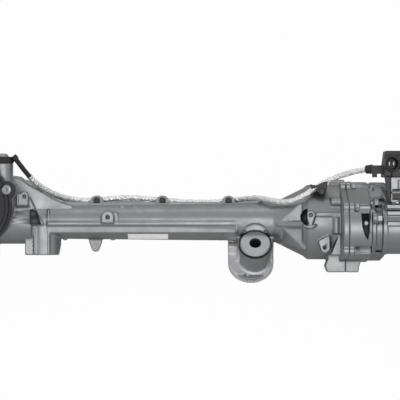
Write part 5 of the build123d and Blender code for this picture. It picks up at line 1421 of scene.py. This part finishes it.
@dataclass
class Bellows:
    """Rubber bellows of one side, in two lengths: casting to inner joint, and inner joint to tie rod.

    Attributes:
        side: 1 for the right end and -1 for the left end.
        face: Place of the casting's end face along the rack.
        rack_end: Place of the rack's end face.
        folds: Number of folds.
        depth: Height of a fold.
        split: Distance from the rack's end at which the two lengths meet.
        cuff: Distance from the rack's end to the outer end of the rod cuff.
        seat: Outer radius on the casting.
        grip: Outer radius on the tie rod.
        wall: Thickness of the rubber.
        bore: Smallest inner radius, on the tie rod.
        step: Spacing of the rings, small enough for round folds.
        overlap: Length that lies on the casting.
        first_fold: Distance of the first fold from the casting's end face.
        plain_end: Length behind the last fold.
        inner_reach: Where the inner length has come to follow the rack, from the rack's end; not used.
        outer_reach: Where the outer length has come to follow the tie rod, from the rack's end; not used.
    """

    side: int
    face: float
    rack_end: float
    folds: int = 8
    depth: float = 5.9
    split: float = 40.0
    cuff: float = 117.0
    seat: float = 29.0
    grip: float = 10.4
    wall: float = 2.0
    bore: float = 7.55
    step: float = 0.8
    overlap: float = 16.0
    first_fold: float = 5
    plain_end: float = 16
    inner_reach: float = 36.0
    outer_reach: float = 95.0

    def along(self, distance: float) -> Vector:
        """Gives the axis point at a distance outwards from the rack's end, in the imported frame."""
        return CASTING @ Vector((self.rack_end + self.side * distance, 0, 0))

    def profile(self, start: float, end: float, low: float, high: float) -> Outline:
        """Closed outline of a length of the unfolded bellows, as radius and distance from the rack's end.

        Args:
            start: Where the folds begin.
            end: Where the folds end.
            low: Inner end of the length.
            high: Outer end of the length.

        Returns:
            The outline from the outside's low end to the inside's low end.
        """
        corners = [(start - 18, self.seat), (start - 5, self.seat), (start - 1, 26.0), (start, 25.0),
                   (end, 19.0), (end + 3, 17.0), (end + 7, 12.2), (end + 11, self.grip),
                   (self.cuff, self.grip)]

        def radius(at: float) -> float:
            """Reads the outer radius between the corners.

            Args:
                at: Distance from the rack's end.

            Returns:
                The radius there.
            """
            for (x0, r0), (x1, r1) in zip(corners, corners[1:]):
                if at <= x1:
                    return r0 + (r1 - r0) * (at - x0) / (x1 - x0)
            return corners[-1][1]

        count = round((high - low) / self.step)
        spots = [low + (high - low) * i / count for i in range(count + 1)]
        outside = [(radius(at), at) for at in spots]
        inside = [(max(radius(at) - self.wall, self.bore), at) for at in reversed(spots)]
        return outside + inside

    def folding(self) -> Growth:
        """Makes the tree that raises the folds away from the rack's axis.

        Returns:
            The tree.
        """
        growth = Growth("folds along the rack", {
            "Start": "NodeSocketFloat", "End": "NodeSocketFloat", "Folds": "NodeSocketFloat",
            "Depth": "NodeSocketFloat", "Height": "NodeSocketFloat", "Depth Axis": "NodeSocketFloat"})
        tree, source = growth.tree, growth.source
        place = add_node(tree, "GeometryNodeInputPosition")
        parts = add_node(tree, "ShaderNodeSeparateXYZ", {0: place.outputs[0]})
        share = add_node(tree, "ShaderNodeMapRange", {
            0: parts.outputs[0], 1: source.outputs["Start"], 2: source.outputs["End"]})
        turns = add_node(tree, "ShaderNodeMath", {0: share.outputs[0], 1: source.outputs["Folds"]},
                         operation="MULTIPLY")
        angle = add_node(tree, "ShaderNodeMath", {0: turns.outputs[0], 1: math.tau}, operation="MULTIPLY")
        wave = add_node(tree, "ShaderNodeMath", {0: angle.outputs[0]}, operation="COSINE")
        fold = add_node(tree, "ShaderNodeMath", {0: wave.outputs[0], 1: -0.5, 2: 0.5},
                        operation="MULTIPLY_ADD")
        sharp = add_node(tree, "ShaderNodeMath", {0: fold.outputs[0], 1: 0.8}, operation="POWER")
        rise = add_node(tree, "ShaderNodeMath", {0: sharp.outputs[0], 1: source.outputs["Depth"]},
                        operation="MULTIPLY")
        y_off = add_node(tree, "ShaderNodeMath", {0: parts.outputs[1], 1: source.outputs["Depth Axis"]},
                         operation="SUBTRACT")
        z_off = add_node(tree, "ShaderNodeMath", {0: parts.outputs[2], 1: source.outputs["Height"]},
                         operation="SUBTRACT")
        outward = add_node(tree, "ShaderNodeCombineXYZ", {1: y_off.outputs[0], 2: z_off.outputs[0]})
        unit = add_node(tree, "ShaderNodeVectorMath", {0: outward.outputs[0]}, operation="NORMALIZE")
        push = add_node(tree, "ShaderNodeVectorMath", {0: unit.outputs[0], "Scale": rise.outputs[0]},
                        operation="SCALE")
        folded = add_node(tree, "GeometryNodeSetPosition", {
            "Geometry": source.outputs["Mesh"], "Offset": push.outputs[0]})
        growth.end(folded.outputs[0])
        return growth

    def length(self, name: str, growth: Growth, folds: tuple[float, float],
               ends: tuple[float, float]) -> bpy.types.Object:
        """Makes one length of the bellows, which rides on no body yet.

        Args:
            name: Name of the length, after its side.
            growth: The tree of the folds.
            folds: Where the folds begin and end, from the rack's end.
            ends: Inner and outer end of the length.

        Returns:
            The new object.
        """
        title = "right" if self.side > 0 else "left"
        axis = CASTING @ Vector(ORIGIN)
        start, end = folds
        shape = Shaper()
        shape.loop(self.profile(start, end, *ends), (self.rack_end, 0, 0), (self.side, 0, 0), 56)
        mesh = growth.run(shape.finish(name), {
            "Start": self.along(start).x, "End": self.along(end).x, "Folds": float(self.folds),
            "Depth": self.depth * MM, "Height": axis.z, "Depth Axis": axis.y,
            "Finish": BLACK_RUBBER.material()})
        for polygon in mesh.polygons:
            polygon.use_smooth = True
        piece = bpy.data.objects.new(f"{title}_bellows_{name}", mesh)
        bpy.context.scene.collection.objects.link(piece)
        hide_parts(f"{title}_bellows")
        log.info("%s: %d folds in all", piece.name, self.folds)
        return piece

    def build(self) -> None:
        """Makes both lengths and bakes them into the imported frame."""
        growth = self.folding()
        start = self.side * (self.face - self.rack_end) + self.first_fold
        end = self.cuff - self.plain_end
        inner = self.length("inner", growth, (start, end), (start - self.overlap, self.split))
        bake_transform(inner)
        outer = self.length("outer", growth, (start, end), (self.split, self.cuff))
        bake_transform(outer)


@dataclass(frozen=True)
class Softbox:
    """A long soft lamp over the rack that points at its axis.

    Attributes:
        name: Name of the lamp.
        lift: Angle above the line of sight, seen from the rack, in degrees.
        away: Its distance from the rack in millimetres.
        sides: Its length along the rack and its height, in millimetres.
        power: Its power in watts.
    """

    name: str
    lift: float
    away: float
    sides: tuple[float, float]
    power: float

    def build(self) -> None:
        """Puts the lamp in the scene."""
        lift = math.radians(self.lift)
        data = bpy.data.lights.new(self.name, "AREA")
        data.shape = "RECTANGLE"
        data.size, data.size_y = (side * MM for side in self.sides)
        data.energy = self.power
        lamp = bpy.data.objects.new(self.name, data)
        bpy.context.scene.collection.objects.link(lamp)
        lamp.location = CASTING @ Vector((0, -self.away * math.cos(lift), self.away * math.sin(lift)))
        aim = CASTING @ Vector(ORIGIN) - lamp.location
        lamp.rotation_euler = aim.to_track_quat("-Z", "Y").to_euler()


@dataclass
class Studio:
    """Pale floor, soft lamps and the camera at the photograph's angle.

    Attributes:
        distance: Distance of the camera from the rack's axis plane, in millimetres.
        pixel: Size in millimetres of one pixel of the 400-pixel picture, at the rack's axis.
        aim_height: Height of the picture's middle above the rack's axis.
        paper: How white the floor looks to the camera, from 0 to 1.
        room: Strength of the room's even light.
        floor_reach: Half the side of the floor, in metres.
        floor_gap: Distance of the floor under the rack, in metres.
        lamps: The soft lamps.
    """

    distance: float = 3000.0
    pixel: float = 1.45
    aim_height: float = 32.0
    paper: float = 0.975
    room: float = 0.66
    floor_reach: float = 12.0
    floor_gap: float = 0.002
    lamps: tuple[Softbox, ...] = (Softbox("front_softbox", 3, 2500, (2600, 1300), 17.0),
                                  Softbox("top_softbox", 80, 2000, (2600, 500), 4.0))

    def camera(self) -> None:
        """Makes the camera, which looks along the casting's Y."""
        data = bpy.data.cameras.new("camera")
        data.sensor_width = 36.0
        data.lens = 36.0 * self.distance / (400 * self.pixel)
        camera = bpy.data.objects.new("camera", data)
        bpy.context.scene.collection.objects.link(camera)
        camera.location = CASTING @ Vector((0.0, -self.distance, self.aim_height))
        camera.rotation_euler = (math.pi / 2 - MOUNT_TILT, 0, 0)
        bpy.context.scene.camera = camera

    def floor(self) -> None:
        """Makes the floor under the lowest point of the rack."""
        low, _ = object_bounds()
        mesh = bpy.data.meshes.new("floor")
        reach = self.floor_reach
        corners = [(-reach, -reach), (reach, -reach), (reach, reach), (-reach, reach)]
        mesh.from_pydata([(x, y, low[2] - self.floor_gap) for x, y in corners], [], [(0, 1, 2, 3)])
        material = bpy.data.materials.new("paper sweep white")
        material.use_nodes = True
        tree = material.node_tree
        tree.nodes.clear()
        rays = add_node(tree, "ShaderNodeLightPath")
        seen = add_node(tree, "ShaderNodeMath", {0: rays.outputs["Is Camera Ray"], 1: self.paper},
                        operation="MULTIPLY")
        paper = add_node(tree, "ShaderNodeBsdfDiffuse", {"Color": linear("#c8c8c8")})
        glow = add_node(tree, "ShaderNodeEmission", {"Color": linear("#ffffff"), "Strength": 1.0})
        mix = add_node(tree, "ShaderNodeMixShader", {
            0: seen.outputs[0], 1: paper.outputs[0], 2: glow.outputs[0]})
        add_node(tree, "ShaderNodeOutputMaterial", {"Surface": mix.outputs[0]})
        mesh.materials.append(material)
        floor = bpy.data.objects.new("floor", mesh)
        bpy.context.scene.collection.objects.link(floor)
        floor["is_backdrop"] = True

    def world(self) -> None:
        """Makes the even light of the room and its white backdrop."""
        world = bpy.data.worlds.new("room")
        world.use_nodes = True
        tree = world.node_tree
        tree.nodes.clear()
        rays = add_node(tree, "ShaderNodeLightPath")
        room = add_node(tree, "ShaderNodeBackground", {"Color": linear("#ffffff"), "Strength": self.room})
        back = add_node(tree, "ShaderNodeBackground", {"Color": linear("#ffffff"), "Strength": 1.0})
        mix = add_node(tree, "ShaderNodeMixShader", {
            0: rays.outputs["Is Camera Ray"], 1: room.outputs[0], 2: back.outputs[0]})
        add_node(tree, "ShaderNodeOutputWorld", {"Surface": mix.outputs[0]})
        bpy.context.scene.world = world

    def build(self) -> None:
        """Sets up the whole studio."""
        self.camera()
        self.floor()
        self.world()
        for lamp in self.lamps:
            lamp.build()
        bpy.context.scene.view_settings.view_transform = "Standard"


class CarriedOver:
    """The CAD nodes whose own shape is shown, each with the finish of its slot."""

    def build(self) -> None:
        """Gives every CAD node the finish of its slot."""
        by_slot = {finish.slot: finish for finish in FINISHES}
        slot_of = {part["node"]: part["material_slot"] for part in frame["record"]["subparts"]}
        for name, node in frame["nodes"].items():
            finish = by_slot[slot_of[name]]
            node.data.materials.clear()
            node.data.materials.append(finish.material())
        log.info("carried over: %d nodes", len(frame["nodes"]))


def main() -> None:
    """Builds the studio and every sub-assembly in order."""
    logging.basicConfig(level=logging.INFO, format="%(name)s: %(message)s")
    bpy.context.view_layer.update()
    Studio().build()
    Lead().build()
    CarriedOver().build()
    casting = RackCasting().build()
    BeltCasting().build()
    for screws in screw_sets():
        screws.build()
    MotorCan().build()
    UnitTray().build()
    PlugBlock().build()
    SaddleClip().build()
    MountSleeve().build()
    Label().build(casting)
    for side, casting_end, rack_end in ((-1, -392.0, -457.0), (1, 300.0, 365.0)):
        Bellows(side, casting_end, rack_end).build()


if __name__ == "__main__":
    main()
